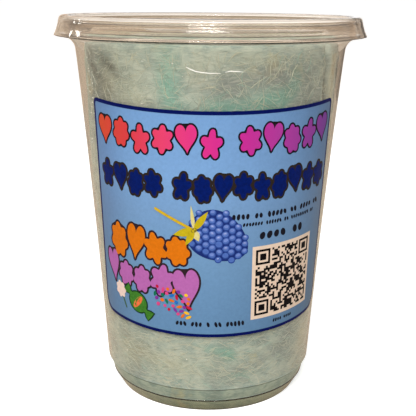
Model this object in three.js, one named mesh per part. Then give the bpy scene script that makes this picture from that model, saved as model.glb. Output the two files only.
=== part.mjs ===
// Clear snap-lid tub filled with spun sugar, with a rectangular label wrapped round its front.
// Millimetres, +Z up. The origin is the centre of the ring that the tub stands on, and the
// label faces -Y. Every round piece is turned about Z, so the axes of all four pieces agree.

import * as THREE from 'three';

// ---------------------------------------------------------------- driving dimensions

const TOTAL_HEIGHT = 144.4;       // floor to the crown of the lid
const FIT_GAP = 0.3;              // clearance between pieces that lie in each other
const TURN_SEGMENTS = 60;         // facets round a turned piece, a multiple of four

const BASE = {
  standRadius: 35.4,              // outer edge of the ring it stands on
  standWidth: 2.0,
  puntRadius: 31.6,               // raised middle of the underside
  puntHeight: 2.0,
  beadRadius: 38.2,               // raised line half way up the rounded foot
  beadHeight: 5.2,
  beadRelief: 0.3,
  ledgeHeight: 10.4,              // step where the foot meets the tall wall
  ledgeRelief: 0.35,
};

const WALL = {
  thickness: 0.7,
  footRadius: 41.0,
  footHeight: 13.0,
  headRadius: 50.2,
  headHeight: 128.5,
  waist: 0.45,                    // the tall wall draws in this much at half height
  rings: 4,
};

const NECK = {
  filletRadius: 5.0,              // outside hollow under the flange
  filletOffset: 1.0,              // its centre line lies this far outside the collar
  filletSteps: 3,
  filletStart: 175,               // degrees round its centre, where it leaves the wall
  outsideEnd: 90,
  insideEnd: 109,
  flangeHeight: 137.1,            // top of the flange that the collar stands on
  flangeRadius: 56.2,
};

const COLLAR = {
  radius: 54.6,                   // upright ring inside the lid's channel
  beadRadius: 55.3,               // snap bead round its top
  beadHeight: 141.6,
  beadChamfer: 0.4,
  topHeight: 143.2,
};

const LID = {
  thickness: 0.6,
  skirtRadius: 58.3,              // sharp flared lower edge
  skirtHeight: 137.3,
  creaseRadius: 57.25,            // where the flare turns into the upright upper half
  creaseHeight: 139.8,
  shoulderRadius: 56.4,
  crownRounding: 1.5,
  crownSteps: 2,
  crownWidth: 3.6,                // skirt's shoulder to the inner edge of the crown
  plugRadius: 53.3,               // outside of the plug wall, inside the collar
  panelHeight: 138.9,             // top of the sunk panel
  ringRadius: 44.0,               // shallow stacking step in the panel
  ringRise: 0.9,
};

const CANDY = {
  pullBack: 2.2,                  // shrunk away from the wall near the top
  pullStart: 78.0,                // height where it starts to leave the wall
  foldDepth: 0.9,
  folds: [                        // soft folds: how many go round, how they twist, where they start
    { count: 5, twist: 0.05, start: 0 },
    { count: 9, twist: -0.11, start: 1.3 },
    { count: 3, twist: 0.16, start: 0.6 },
  ],
  footClearance: 0.2,
  topHeight: 137.8,
  topDip: 2.2,
  topLumps: { alongX: 9, alongY: 11, across: 17, start: 0.7 },
  topRounding: 3.5,
  topArc: [30, 60],               // degrees of the two points that round its edge
  wallRings: 9,
  topRings: 4,
};

const LABEL = {
  width: 101.6,
  height: 82.6,
  thickness: 0.15,
  bottomHeight: 32.4,             // lower edge at the label's middle
  turn: 3.0,                      // degrees from straight ahead, towards +X
  topCorner: 2.2,
  bottomCorner: 5.5,
  columns: 48,
  cornerColumns: 4,
  rows: 4,
};

// ---------------------------------------------------------------- shared shapes

const degrees = THREE.MathUtils.degToRad;

/** Outer radius of the tall wall at a height. */
function wallRadius(height) {
  const t = (height - WALL.footHeight) / (WALL.headHeight - WALL.footHeight);
  const straight = WALL.footRadius + (WALL.headRadius - WALL.footRadius) * t;
  const draw = 4 * WALL.waist * Math.max(t, 0) * Math.max(1 - t, 0);
  return straight - draw;
}

/** Heights of evenly spaced rings between two heights, without the first one. */
function ringHeights(from, to, count) {
  return Array.from({ length: count }, (_, i) => from + ((to - from) * (i + 1)) / count);
}

/** Points of an arc about (centreRadius, centreHeight), angles in degrees from the +radius side. */
function arc(centreRadius, centreHeight, radius, from, to, steps) {
  const points = [];
  for (let i = 0; i <= steps; i += 1) {
    const angle = degrees(from + ((to - from) * i) / steps);
    const x = centreRadius + radius * Math.cos(angle);
    const y = centreHeight + radius * Math.sin(angle);
    points.push(new THREE.Vector2(x, y));
  }
  return points;
}

/** Turn a profile of (radius, height) points about Z. */
function turned(points) {
  const geometry = new THREE.LatheGeometry(points, TURN_SEGMENTS);
  geometry.rotateX(Math.PI / 2);
  return geometry;
}

/** A clear plastic finish. */
function clearPlastic(color) {
  return new THREE.MeshStandardMaterial({
    color, roughness: 0.08, metalness: 0, transparent: true, opacity: 0.35,
  });
}

const point = (radius, height) => new THREE.Vector2(radius, height);

// ---------------------------------------------------------------- tub

/** Hollow under the flange, from the tall wall outwards, at a depth inside the outer surface. */
function neckProfile(depth, toAngle) {
  const radius = NECK.filletRadius + depth;
  const centreRadius = COLLAR.radius + NECK.filletOffset;
  const centreHeight = NECK.flangeHeight - WALL.thickness - NECK.filletRadius;
  return arc(centreRadius, centreHeight, radius, NECK.filletStart, toAngle, NECK.filletSteps);
}

function tubGeometry() {
  const t = WALL.thickness;
  const standInner = BASE.standRadius - BASE.standWidth;
  const ledgeRadius = wallRadius(BASE.ledgeHeight) - BASE.ledgeRelief;
  const wallFoot = BASE.ledgeHeight + BASE.ledgeRelief;
  const wallTop = WALL.headHeight;

  const outside = [
    point(0, BASE.puntHeight),
    point(BASE.puntRadius, BASE.puntHeight),
    point(standInner, 0),
    point(BASE.standRadius, 0),
    point(BASE.beadRadius - BASE.beadRelief, BASE.beadHeight - BASE.beadRelief),
    point(BASE.beadRadius, BASE.beadHeight),
    point(ledgeRadius, BASE.ledgeHeight),
    point(wallRadius(wallFoot), wallFoot),
    ...ringHeights(wallFoot, wallTop, WALL.rings).map((z) => point(wallRadius(z), z)),
    ...neckProfile(0, NECK.outsideEnd),
    point(NECK.flangeRadius, NECK.flangeHeight - t),
    point(NECK.flangeRadius, NECK.flangeHeight),
    point(COLLAR.radius, NECK.flangeHeight),
    point(COLLAR.radius, COLLAR.beadHeight),
    point(COLLAR.beadRadius, COLLAR.beadHeight + COLLAR.beadChamfer),
    point(COLLAR.beadRadius, COLLAR.topHeight - COLLAR.beadChamfer),
    point(COLLAR.beadRadius - COLLAR.beadChamfer, COLLAR.topHeight),
  ];

  const inside = [
    point(COLLAR.radius - t, COLLAR.topHeight),
    point(COLLAR.radius - t, NECK.flangeHeight),
    ...neckProfile(t, NECK.insideEnd).reverse(),
    ...ringHeights(wallFoot, wallTop, WALL.rings).reverse()
      .map((z) => point(wallRadius(z) - t, z)),
    point(ledgeRadius - t, BASE.ledgeHeight + t / 2),
    point(BASE.beadRadius - t, BASE.beadHeight + t / 2),
    point(BASE.standRadius - t, t),
    point(standInner + t / 2, t),
    point(BASE.puntRadius - t / 2, BASE.puntHeight + t),
    point(0, BASE.puntHeight + t),
  ];
  return turned([...outside, ...inside]);
}

// ---------------------------------------------------------------- lid

/** Rounded crown, from the shoulder over to its inner edge, at a depth below the surface. */
function crownProfile(depth) {
  const radius = LID.crownRounding - depth;
  const top = TOTAL_HEIGHT - LID.crownRounding;
  const outer = arc(LID.shoulderRadius - LID.crownRounding, top, radius, 0, 90, LID.crownSteps);
  const innerCentre = LID.shoulderRadius - LID.crownWidth + LID.crownRounding;
  const inner = arc(innerCentre, top, radius, 90, 180, LID.crownSteps);
  return [...outer, ...inner.slice(1)];
}

function lidGeometry() {
  const t = LID.thickness;
  const under = LID.panelHeight - t;

  const underside = [
    point(0, under + LID.ringRise),
    point(LID.ringRadius, under + LID.ringRise),
    point(LID.ringRadius + LID.ringRise, under),
    point(LID.plugRadius, under),
    ...crownProfile(t).reverse(),
    point(LID.creaseRadius - t, LID.creaseHeight),
    point(LID.skirtRadius - t, LID.skirtHeight),
  ];

  const topside = [
    point(LID.skirtRadius, LID.skirtHeight),
    point(LID.creaseRadius, LID.creaseHeight),
    ...crownProfile(0),
    point(LID.plugRadius - t, LID.panelHeight),
    point(LID.ringRadius + LID.ringRise, LID.panelHeight),
    point(LID.ringRadius, LID.panelHeight + LID.ringRise),
    point(0, LID.panelHeight + LID.ringRise),
  ];
  return turned([...underside, ...topside]);
}

// ---------------------------------------------------------------- spun sugar

/** How far the packed floss is drawn in from the wall: a few soft folds that rise as they turn. */
function foldDepth(x, y, z) {
  const angle = Math.atan2(y, x);
  const waves = CANDY.folds.map(({ count, twist, start }) => (
    1 + Math.sin(count * angle + twist * z + start)
  ));
  const sum = waves.reduce((total, wave) => total + wave, 0);
  return (CANDY.foldDepth * sum) / (2 * waves.length);
}

/** How far the heaped top sinks, from 0 to topDip. */
function topSink(x, y) {
  const { alongX, alongY, across, start } = CANDY.topLumps;
  const lumps = Math.sin(x / alongX + start) * Math.cos(y / alongY) + Math.sin((x - y) / across);
  return (CANDY.topDip * (2 + lumps)) / 4;
}

/** Gap that opens between the floss and the wall towards the top. */
function pullBack(z) {
  const rise = THREE.MathUtils.smoothstep(z, CANDY.pullStart, WALL.headHeight);
  return CANDY.pullBack * rise;
}

function candyGeometry() {
  const t = WALL.thickness + FIT_GAP;
  const floor = BASE.puntHeight + t;
  const shoulder = CANDY.topHeight - CANDY.topRounding;
  const topRadius = wallRadius(WALL.headHeight) - t - CANDY.pullBack;
  const profile = [
    point(0, floor),
    point(BASE.standRadius - t, floor),
    point(BASE.beadRadius - t - CANDY.footClearance, BASE.beadHeight + t / 2),
    point(wallRadius(BASE.ledgeHeight) - BASE.ledgeRelief - t, BASE.ledgeHeight + t / 2),
    ...ringHeights(BASE.ledgeHeight + t / 2, shoulder, CANDY.wallRings)
      .map((z) => point(wallRadius(Math.min(z, WALL.headHeight)) - t - pullBack(z), z)),
    ...arc(topRadius - CANDY.topRounding, shoulder, CANDY.topRounding, ...CANDY.topArc, 1),
    ...ringHeights(topRadius - CANDY.topRounding, 0, CANDY.topRings)
      .map((radius) => point(radius, CANDY.topHeight)),
  ];

  const geometry = turned(profile);
  const place = geometry.attributes.position;
  for (let i = 0; i < place.count; i += 1) {
    const x = place.getX(i);
    const y = place.getY(i);
    const z = place.getZ(i);
    const radius = Math.hypot(x, y);
    const side = THREE.MathUtils.smoothstep(radius, BASE.puntRadius, BASE.standRadius);
    const scale = radius > 0 ? 1 - (side * foldDepth(x, y, z)) / radius : 1;
    const sink = z > shoulder ? topSink(x, y) : 0;
    place.setXYZ(i, x * scale, y * scale, z - sink);
  }
  return geometry;
}

// ---------------------------------------------------------------- label

/** Height that a rounded corner takes off one end of a column, at a distance from the side edge. */
function cornerCut(fromEdge, radius) {
  if (fromEdge >= radius) return 0;
  const across = radius - fromEdge;
  return radius - Math.sqrt(radius * radius - across * across);
}

/** Place across the label of a column, closer together in the rounded corners. */
function columnPlace(fraction) {
  const index = Math.round((fraction + 0.5) * LABEL.columns);
  const fromSide = Math.min(index, LABEL.columns - index);
  const flat = LABEL.width / 2 - LABEL.bottomCorner;
  const side = index * 2 < LABEL.columns ? -1 : 1;
  if (fromSide < LABEL.cornerColumns) {
    const swing = degrees((90 * fromSide) / LABEL.cornerColumns);
    return side * (flat + LABEL.bottomCorner * Math.cos(swing));
  }
  const middleColumns = LABEL.columns - 2 * LABEL.cornerColumns;
  return -flat + (2 * flat * (index - LABEL.cornerColumns)) / middleColumns;
}

/** A flat rounded sheet rolled onto the tapering wall, so that its side edges stay straight. */
function labelGeometry() {
  const { width, height, thickness, columns, rows } = LABEL;
  const geometry = new THREE.BoxGeometry(1, 1, thickness, columns, rows, 1);
  const taper = (WALL.headRadius - WALL.footRadius) / (WALL.headHeight - WALL.footHeight);
  const halfAngle = Math.atan(taper);
  const footSlant = wallRadius(LABEL.bottomHeight) / Math.sin(halfAngle);
  const place = geometry.attributes.position;

  for (let i = 0; i < place.count; i += 1) {
    const across = columnPlace(place.getX(i));
    const fromEdge = width / 2 - Math.abs(across);
    const low = cornerCut(fromEdge, LABEL.bottomCorner);
    const high = height - cornerCut(fromEdge, LABEL.topCorner);
    const up = low + (high - low) * (place.getY(i) + 0.5);

    const slant = Math.hypot(across, footSlant + up);
    const turn = Math.atan2(across, footSlant + up) / Math.sin(halfAngle) + degrees(LABEL.turn);
    const z = LABEL.bottomHeight + (slant - footSlant) * Math.cos(halfAngle);
    const radius = wallRadius(z) + FIT_GAP + thickness / 2 + place.getZ(i);
    place.setXYZ(i, radius * Math.sin(turn), -radius * Math.cos(turn), z);
  }
  return geometry;
}

// ---------------------------------------------------------------- assembly

const finishes = {
  tub: clearPlastic(0xcdbfae),
  lid: clearPlastic(0xd8c9b8),
  cotton_candy: new THREE.MeshStandardMaterial({ color: 0x9aa88f, roughness: 0.85 }),
  label: new THREE.MeshStandardMaterial({ color: 0x7a9fd0, roughness: 0.35 }),
};

const shapes = {
  tub: tubGeometry(),
  lid: lidGeometry(),
  cotton_candy: candyGeometry(),
  label: labelGeometry(),
};

const sweetTub = new THREE.Group();
for (const [name, geometry] of Object.entries(shapes)) {
  const mesh = new THREE.Mesh(geometry, finishes[name]);
  mesh.name = name;
  sweetTub.add(mesh);
}

export default sweetTub;
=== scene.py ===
"""Clear snap-lid tub packed with pale blue-green cotton candy, dressed around its CAD frame."""

import logging
import math
import random
from dataclasses import dataclass, field
from enum import Enum
from typing import Iterable

import bmesh
import bpy
from mathutils import Matrix, Vector, noise


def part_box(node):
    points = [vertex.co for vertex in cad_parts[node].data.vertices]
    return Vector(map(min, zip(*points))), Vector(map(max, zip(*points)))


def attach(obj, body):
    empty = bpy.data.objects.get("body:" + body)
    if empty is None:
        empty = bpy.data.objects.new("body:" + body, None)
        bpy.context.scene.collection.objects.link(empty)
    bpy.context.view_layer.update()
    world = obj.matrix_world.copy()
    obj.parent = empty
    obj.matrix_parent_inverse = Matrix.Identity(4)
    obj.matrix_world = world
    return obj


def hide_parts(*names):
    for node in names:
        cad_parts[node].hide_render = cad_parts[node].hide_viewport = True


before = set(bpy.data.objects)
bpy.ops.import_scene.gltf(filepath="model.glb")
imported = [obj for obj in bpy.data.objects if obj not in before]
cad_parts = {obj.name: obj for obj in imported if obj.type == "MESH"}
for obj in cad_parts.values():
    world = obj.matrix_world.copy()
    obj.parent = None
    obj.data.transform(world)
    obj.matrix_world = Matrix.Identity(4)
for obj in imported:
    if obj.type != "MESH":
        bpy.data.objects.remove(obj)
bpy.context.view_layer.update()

LOG = logging.getLogger("cotton_candy_tub")
MM = 0.001
SEED = 56
STRAND_END = 0.4
DARK_SHARE = 0.56
MERGE_DISTANCE = 0.002 * MM

TUB_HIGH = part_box("tub")[1]
LID_LOW, LID_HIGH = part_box("lid")
FLOSS_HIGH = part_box("cotton_candy")[1]
LABEL_LOW, LABEL_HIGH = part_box("label")

Color = tuple[float, float, float]
Point = tuple[float, float]


def linear(value: int) -> float:
    """Turn one everyday 0 to 255 channel into linear light.

    Args:
        value: The channel, 0 to 255.

    Returns:
        The linear channel, 0 to 1.
    """
    part = value / 255
    return part / 12.92 if part <= 0.04045 else ((part + 0.055) / 1.055) ** 2.4


def srgb(red: int, green: int, blue: int) -> Color:
    """Turn an everyday 0 to 255 colour into linear light.

    Args:
        red: Red, 0 to 255.
        green: Green, 0 to 255.
        blue: Blue, 0 to 255.

    Returns:
        The linear colour.
    """
    return linear(red), linear(green), linear(blue)


# ------------------------------------------------------------------ shaping helpers


def arc(centre: Point, radius: float, start: float, end: float, steps: int) -> list[Point]:
    """Points of an arc in a (radius, height) profile.

    Args:
        centre: Centre of the arc.
        radius: Radius of the arc.
        start: First angle in degrees from the outward direction.
        end: Last angle in degrees.
        steps: Number of steps between the ends.

    Returns:
        The points, both ends included.
    """
    angles = [math.radians(start + (end - start) * i / steps) for i in range(steps + 1)]
    return [(centre[0] + radius * math.cos(a), centre[1] + radius * math.sin(a)) for a in angles]


def spun(profile: list[Point], segments: int) -> bmesh.types.BMesh:
    """Spin an open profile of (radius, height) points about Z.

    Args:
        profile: Points from one end of the profile to the other, in metres.
        segments: Facets round the turn.

    Returns:
        The turned sheet, merged at its seam and poles, with its faces outwards.
    """
    sheet = bmesh.new()
    chain = [sheet.verts.new((radius, 0.0, height)) for radius, height in profile]
    for first, second in zip(chain, chain[1:]):
        sheet.edges.new((first, second))
    bmesh.ops.spin(
        sheet, geom=sheet.verts[:] + sheet.edges[:], cent=(0, 0, 0), axis=(0, 0, 1),
        dvec=(0, 0, 0), angle=math.tau, steps=segments, use_merge=True, use_duplicate=False,
    )
    bmesh.ops.remove_doubles(sheet, verts=sheet.verts[:], dist=MERGE_DISTANCE)
    bmesh.ops.recalc_face_normals(sheet, faces=sheet.faces[:])
    return sheet


def finished(
    name: str, shape: bmesh.types.BMesh, material: bpy.types.Material, sharp: float = 40.0
) -> bpy.types.Object:
    """Turn a shape into a smooth-shaded object at the origin.

    Args:
        name: Name of the piece.
        shape: The shape, which is freed.
        material: Its finish.
        sharp: Edges that turn by more than this many degrees stay sharp.

    Returns:
        The object, linked into the scene.
    """
    mesh = bpy.data.meshes.new(name)
    shape.to_mesh(mesh)
    shape.free()
    mesh.shade_smooth()
    mesh.set_sharp_from_angle(angle=math.radians(sharp))
    mesh.materials.append(material)
    piece = bpy.data.objects.new(name, mesh)
    bpy.context.scene.collection.objects.link(piece)
    return piece


def bundle(
    name: str, material: bpy.types.Material, strands: list[tuple[list[Vector], float]]
) -> bpy.types.Object:
    """Make one mesh of many fine strands that taper at their ends.

    Args:
        name: Name of the piece.
        material: Its finish.
        strands: Points and radius of each strand.

    Returns:
        The object, linked into the scene.
    """
    curve = bpy.data.curves.new(name, "CURVE")
    curve.dimensions = "3D"
    curve.bevel_depth = 1.0
    curve.bevel_resolution = 0
    curve.use_fill_caps = True
    for points, thick in strands:
        spline = curve.splines.new("POLY")
        last = len(points) - 1
        spline.points.add(last)
        for index, place in enumerate(points):
            spline.points[index].co = (*place, 1.0)
            spline.points[index].radius = thick * (1.0 if 0 < index < last else STRAND_END)
    holder = bpy.data.objects.new(name + "_curve", curve)
    bpy.context.scene.collection.objects.link(holder)
    bpy.context.view_layer.update()
    graph = bpy.context.evaluated_depsgraph_get()
    mesh = bpy.data.meshes.new_from_object(holder.evaluated_get(graph))
    mesh.name = name
    bpy.data.objects.remove(holder)
    mesh.shade_smooth()
    mesh.materials.clear()
    mesh.materials.append(material)
    piece = bpy.data.objects.new(name, mesh)
    bpy.context.scene.collection.objects.link(piece)
    return piece


def declare(piece: bpy.types.Object, node: str | None = None) -> None:
    """Tie a piece to the frame and report it.

    Args:
        piece: The finished piece.
        node: The CAD node that the piece stands for, if any.
    """
    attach(piece, "root")
    if node is not None:
        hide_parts(node)
    LOG.info("%s: %d faces", piece.name, len(piece.data.polygons))


# ------------------------------------------------------------------ finishes


class Tone(Enum):
    """Tones of spun sugar that drift through the tub; SHADE is no colour of the sugar but painted shade in
    its folds, at its edges and on its sides.
    """

    SAGE = "sage"
    TEAL = "teal"
    CREAM = "cream"
    GREY = "grey"
    SHADE = "shade"


class NodeSheet:
    """A material's node tree, built one node at a time."""

    def __init__(self, name: str) -> None:
        """Start an empty material.

        Args:
            name: Name of the material.
        """
        self.material = bpy.data.materials.new(name)
        self.material.use_nodes = True
        self.tree = self.material.node_tree
        self.tree.nodes.clear()

    @classmethod
    def of_tree(cls, tree: bpy.types.NodeTree) -> "NodeSheet":
        """Work on a tree that already exists.

        Args:
            tree: The tree, which is emptied.

        Returns:
            The sheet, which has no material of its own.
        """
        sheet = cls.__new__(cls)
        sheet.tree = tree
        tree.nodes.clear()
        return sheet

    def add(self, kind: str, inputs: dict | None = None, **settings: object) -> bpy.types.Node:
        """Add a node.

        Args:
            kind: Node type without the ShaderNode prefix.
            inputs: Socket values or sockets to link, by socket name or index.
            **settings: Properties of the node itself.

        Returns:
            The node.
        """
        node = self.tree.nodes.new("ShaderNode" + kind)
        for key, value in settings.items():
            setattr(node, key, value)
        for key, value in (inputs or {}).items():
            if isinstance(value, bpy.types.NodeSocket):
                self.tree.links.new(value, node.inputs[key])
            elif isinstance(value, tuple) and len(value) == 3 and node.inputs[key].type == "RGBA":
                node.inputs[key].default_value = (*value, 1.0)
            else:
                node.inputs[key].default_value = value
        return node

    def object_place(self) -> bpy.types.NodeSocket:
        """The surface point in the piece's own coordinates."""
        return self.add("TexCoord").outputs["Object"]

    def own_map(self) -> bpy.types.NodeSocket:
        """The piece's own UV map."""
        return self.add("TexCoord").outputs["UV"]

    def noise(
        self, place: bpy.types.NodeSocket, scale: float, detail: float = 2.0, rough: float = 0.5
    ) -> bpy.types.NodeSocket:
        """Noise value over a place.

        Args:
            place: Coordinates.
            scale: Noise cells per unit.
            detail: Octaves.
            rough: Strength of the finer octaves.

        Returns:
            The noise factor socket.
        """
        inputs = {"Vector": place, "Scale": scale, "Detail": detail, "Roughness": rough}
        return self.add("TexNoise", inputs).outputs["Fac"]

    def ramp(
        self, value: bpy.types.NodeSocket, stops: list[tuple[float, Color]]
    ) -> bpy.types.NodeSocket:
        """Colour ramp.

        Args:
            value: What drives the ramp.
            stops: Places from 0 to 1 with their colours.

        Returns:
            The colour socket.
        """
        node = self.add("ValToRGB", {"Fac": value})
        elements = node.color_ramp.elements
        while len(elements) < len(stops):
            elements.new(0.5)
        for element, (place, color) in zip(elements, stops):
            element.position = place
            element.color = (*color, 1.0)
        return node.outputs["Color"]

    def mix(
        self, share: bpy.types.NodeSocket | float, first: object, second: object,
        blend: str = "MIX",
    ) -> bpy.types.NodeSocket:
        """Blend two colours.

        Args:
            share: Share of the second colour.
            first: First colour or socket.
            second: Second colour or socket.
            blend: Blend type.

        Returns:
            The colour socket.
        """
        node = self.tree.nodes.new("ShaderNodeMix")
        node.data_type = "RGBA"
        node.blend_type = blend
        for socket, value in ((node.inputs[0], share), (node.inputs[6], first), (node.inputs[7], second)):
            if isinstance(value, bpy.types.NodeSocket):
                self.tree.links.new(value, socket)
            else:
                socket.default_value = (*value, 1.0) if isinstance(value, tuple) else value
        return node.outputs[2]

    def calc(self, operation: str, *values: object, clamp: bool = False) -> bpy.types.NodeSocket:
        """A math node over sockets or numbers."""
        node = self.add("Math", dict(enumerate(values)), operation=operation, use_clamp=clamp)
        return node.outputs[0]

    def show(self, shader: bpy.types.NodeSocket) -> bpy.types.Material:
        """Send a shader to the surface and hand the material over."""
        self.add("OutputMaterial", {"Surface": shader})
        return self.material


@dataclass(frozen=True)
class ClearPlastic:
    """Clear formed sheet, faintly warm."""

    name: str
    tint: Color
    painted_bands: tuple[tuple[float, Color], ...] = ()
    band_reach: float = 15.0 * MM
    ripple: float = 0.02 * MM
    shade: Color = (0.96, 0.955, 0.94)
    roughness: float = 0.03
    refraction: float = 1.47

    def material(self) -> bpy.types.Material:
        """Clear plastic that lets lamps through to what it holds, with painted shade and a painted
        highlight in bands by height at its foot.

        Returns:
            The material.
        """
        sheet = NodeSheet(self.name)
        tint: Color | bpy.types.NodeSocket = self.tint
        place = sheet.object_place()
        waves = sheet.noise(place, 170.0, 2.0, 0.5)
        bump = sheet.add("Bump", {"Height": waves, "Strength": 1.0, "Distance": self.ripple})
        # Painted light: bands of tint by height, which at the tub's foot hold painted shade and a painted
        # highlight.
        if self.painted_bands:
            height = sheet.add("SeparateXYZ", {"Vector": place}).outputs["Z"]
            share = sheet.calc("DIVIDE", height, self.band_reach, clamp=True)
            tint = sheet.ramp(share, [(level * MM / self.band_reach, color) for level, color in self.painted_bands])
        solid = sheet.add("BsdfPrincipled", {
            "Base Color": tint, "Roughness": self.roughness, "IOR": self.refraction,
            "Transmission Weight": 1.0, "Normal": bump.outputs[0],
        })
        open_way = sheet.add("BsdfTransparent", {"Color": self.shade})
        path = sheet.add("LightPath")
        soft = sheet.add("MixShader", {
            0: path.outputs["Is Diffuse Ray"], 1: solid.outputs[0], 2: open_way.outputs[0],
        })
        mixed = sheet.add("MixShader", {
            0: path.outputs["Is Shadow Ray"], 1: soft.outputs[0], 2: open_way.outputs[0],
        })
        return sheet.show(mixed.outputs[0])


@dataclass(frozen=True)
class FlossFinish:
    """Matted spun sugar: sage, with teal, cream and grey drifts, painted shade in its folds, at its edges
    and on its sides, and crossing fibres.
    """

    name: str = "floss"
    sage: Color = srgb(142, 161, 155)
    pale: Color = srgb(173, 185, 174)
    teal: Color = srgb(90, 164, 148)
    cream: Color = srgb(178, 175, 145)
    grey: Color = srgb(116, 124, 122)
    # Colour of the painted shade.
    shade: Color = srgb(62, 68, 60)
    dark: Color = srgb(94, 104, 98)
    light: Color = srgb(208, 212, 199)
    drift_cover: float = 0.85
    dark_cover: float = 0.4
    light_cover: float = 0.52

    def material(self) -> bpy.types.Material:
        """Matt sugar whose colour drifts over the tub, darkens where shade is painted, and streaks along
        its fibres.

        Returns:
            The material.
        """
        sheet = NodeSheet(self.name)
        place = sheet.object_place()
        tones = sheet.add("Attribute", attribute_name="tones").outputs
        strength = [*sheet.add("SeparateXYZ", {"Vector": tones["Color"]}).outputs, tones["Alpha"]]
        ragged = sheet.noise(place, 120.0, 5.0, 0.7)
        body = sheet.ramp(sheet.noise(place, 60.0, 4.0, 0.6), [
            (0.32, self.cream), (0.42, self.sage), (0.50, self.pale), (0.57, self.sage),
            (0.68, self.mixed(self.grey, self.sage)),
        ])
        # Teal, cream and grey are the sugar's own tones; the last one, shade, is painted shade.
        for share, color in zip(strength, (self.teal, self.cream, self.grey, self.shade)):
            torn = sheet.calc("MULTIPLY_ADD", ragged, 1.6, -0.8)
            edge = sheet.calc("MULTIPLY_ADD", torn, 0.7, share)
            held = sheet.calc("MULTIPLY", edge, share, clamp=True)
            body = sheet.mix(sheet.calc("MULTIPLY", held, self.drift_cover), body, color)
        light, dark = self.fibres(sheet)
        body = sheet.mix(sheet.calc("MULTIPLY", dark, self.dark_cover), body, self.dark)
        body = sheet.mix(sheet.calc("MULTIPLY", light, self.light_cover), body, self.light)
        relief = sheet.calc("SUBTRACT", light, dark)
        bump = sheet.add("Bump", {"Height": relief, "Strength": 0.35, "Distance": 0.15 * MM})
        surface = sheet.add("BsdfPrincipled", {
            "Base Color": body, "Roughness": 0.7, "Normal": bump.outputs[0],
            "Specular IOR Level": 0.3,
        })
        return sheet.show(surface.outputs[0])

    def fibres(self, sheet: NodeSheet) -> tuple[bpy.types.NodeSocket, bpy.types.NodeSocket]:
        """Fine light and dark strokes in several directions that cross each other.

        Args:
            sheet: The node tree.

        Returns:
            The strengths of the light strokes and of the dark ones.
        """
        own = sheet.own_map()
        wander = sheet.add("TexNoise", {"Vector": own, "Scale": 110.0, "Detail": 2.0})
        bent = sheet.add("VectorMath", {0: wander.outputs["Color"], 1: (0.005,) * 3}, operation="MULTIPLY")
        moved = sheet.add("VectorMath", {0: own, 1: bent.outputs[0]}, operation="ADD").outputs[0]
        highest: bpy.types.NodeSocket | None = None
        lowest: bpy.types.NodeSocket | None = None
        for turn, fine in ((0.25, 1900.0), (1.1, 1500.0), (-0.8, 1700.0), (0.65, 1100.0)):
            turned = sheet.add("Mapping", {
                "Vector": moved, "Rotation": (0.0, 0.0, turn), "Scale": (fine * 0.14, fine, 1.0),
            })
            streak = sheet.noise(turned.outputs[0], 1.0, 2.0, 0.6)
            highest = streak if highest is None else sheet.calc("MAXIMUM", highest, streak)
            lowest = streak if lowest is None else sheet.calc("MINIMUM", lowest, streak)
        light = sheet.calc("MULTIPLY_ADD", highest, 6.0, -3.5, clamp=True)
        dark = sheet.calc("MULTIPLY_ADD", lowest, -6.0, 2.5, clamp=True)
        return light, dark

    def strand(self, tone: Tone) -> bpy.types.Material:
        """Slightly glossy sugar thread in one tone.

        Args:
            tone: The tone.

        Returns:
            The thread's material.
        """
        soft = self.mixed(self.pale, self.sage)
        color = {
            Tone.TEAL: self.mixed(self.teal, soft), Tone.CREAM: self.mixed(self.cream, self.light),
            Tone.GREY: self.sage, Tone.SAGE: soft,
        }[tone]
        other = self.mixed(color, self.pale)
        sheet = NodeSheet(f"floss_thread_{tone.value}")
        blend = sheet.ramp(sheet.noise(sheet.object_place(), 90.0, 2.0), [(0.35, color), (0.65, other)])
        surface = sheet.add("BsdfPrincipled", {
            "Base Color": blend, "Roughness": 0.45, "Specular IOR Level": 0.3,
        })
        return sheet.show(surface.outputs[0])

    @staticmethod
    def mixed(first: Color, second: Color) -> Color:
        """The colour half way between two others."""
        return tuple((a + b) / 2 for a, b in zip(first, second))


@dataclass(frozen=True)
class PrintInk:
    """Printed colour with the faint mottle of a paper label."""

    name: str
    color: Color
    mottle: float = 0.12
    roughness: float = 0.38

    def material(self) -> bpy.types.Material:
        """Semi-gloss ink, a little uneven.

        Returns:
            The material.
        """
        sheet = NodeSheet(self.name)
        grain = sheet.noise(sheet.object_place(), 900.0, 3.0, 0.6)
        darker = tuple(channel * (1 - 2 * self.mottle) for channel in self.color)
        tone = sheet.ramp(grain, [(0.3, darker), (0.7, self.color)])
        surface = sheet.add("BsdfPrincipled", {
            "Base Color": tone, "Roughness": self.roughness, "Specular IOR Level": 0.04,
        })
        return sheet.show(surface.outputs[0])


@dataclass(frozen=True)
class GradientInk:
    """Ink that changes colour from one side of the label to the other."""

    name: str
    stops: tuple[tuple[float, Color], ...]

    def material(self) -> bpy.types.Material:
        """Ink read along the label's own map.

        Returns:
            The material.
        """
        sheet = NodeSheet(self.name)
        across = sheet.add("SeparateXYZ", {"Vector": sheet.own_map()}).outputs["X"]
        tone = sheet.ramp(across, list(self.stops))
        surface = sheet.add("BsdfPrincipled", {
            "Base Color": tone, "Roughness": 0.38, "Specular IOR Level": 0.04,
        })
        return sheet.show(surface.outputs[0])


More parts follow.
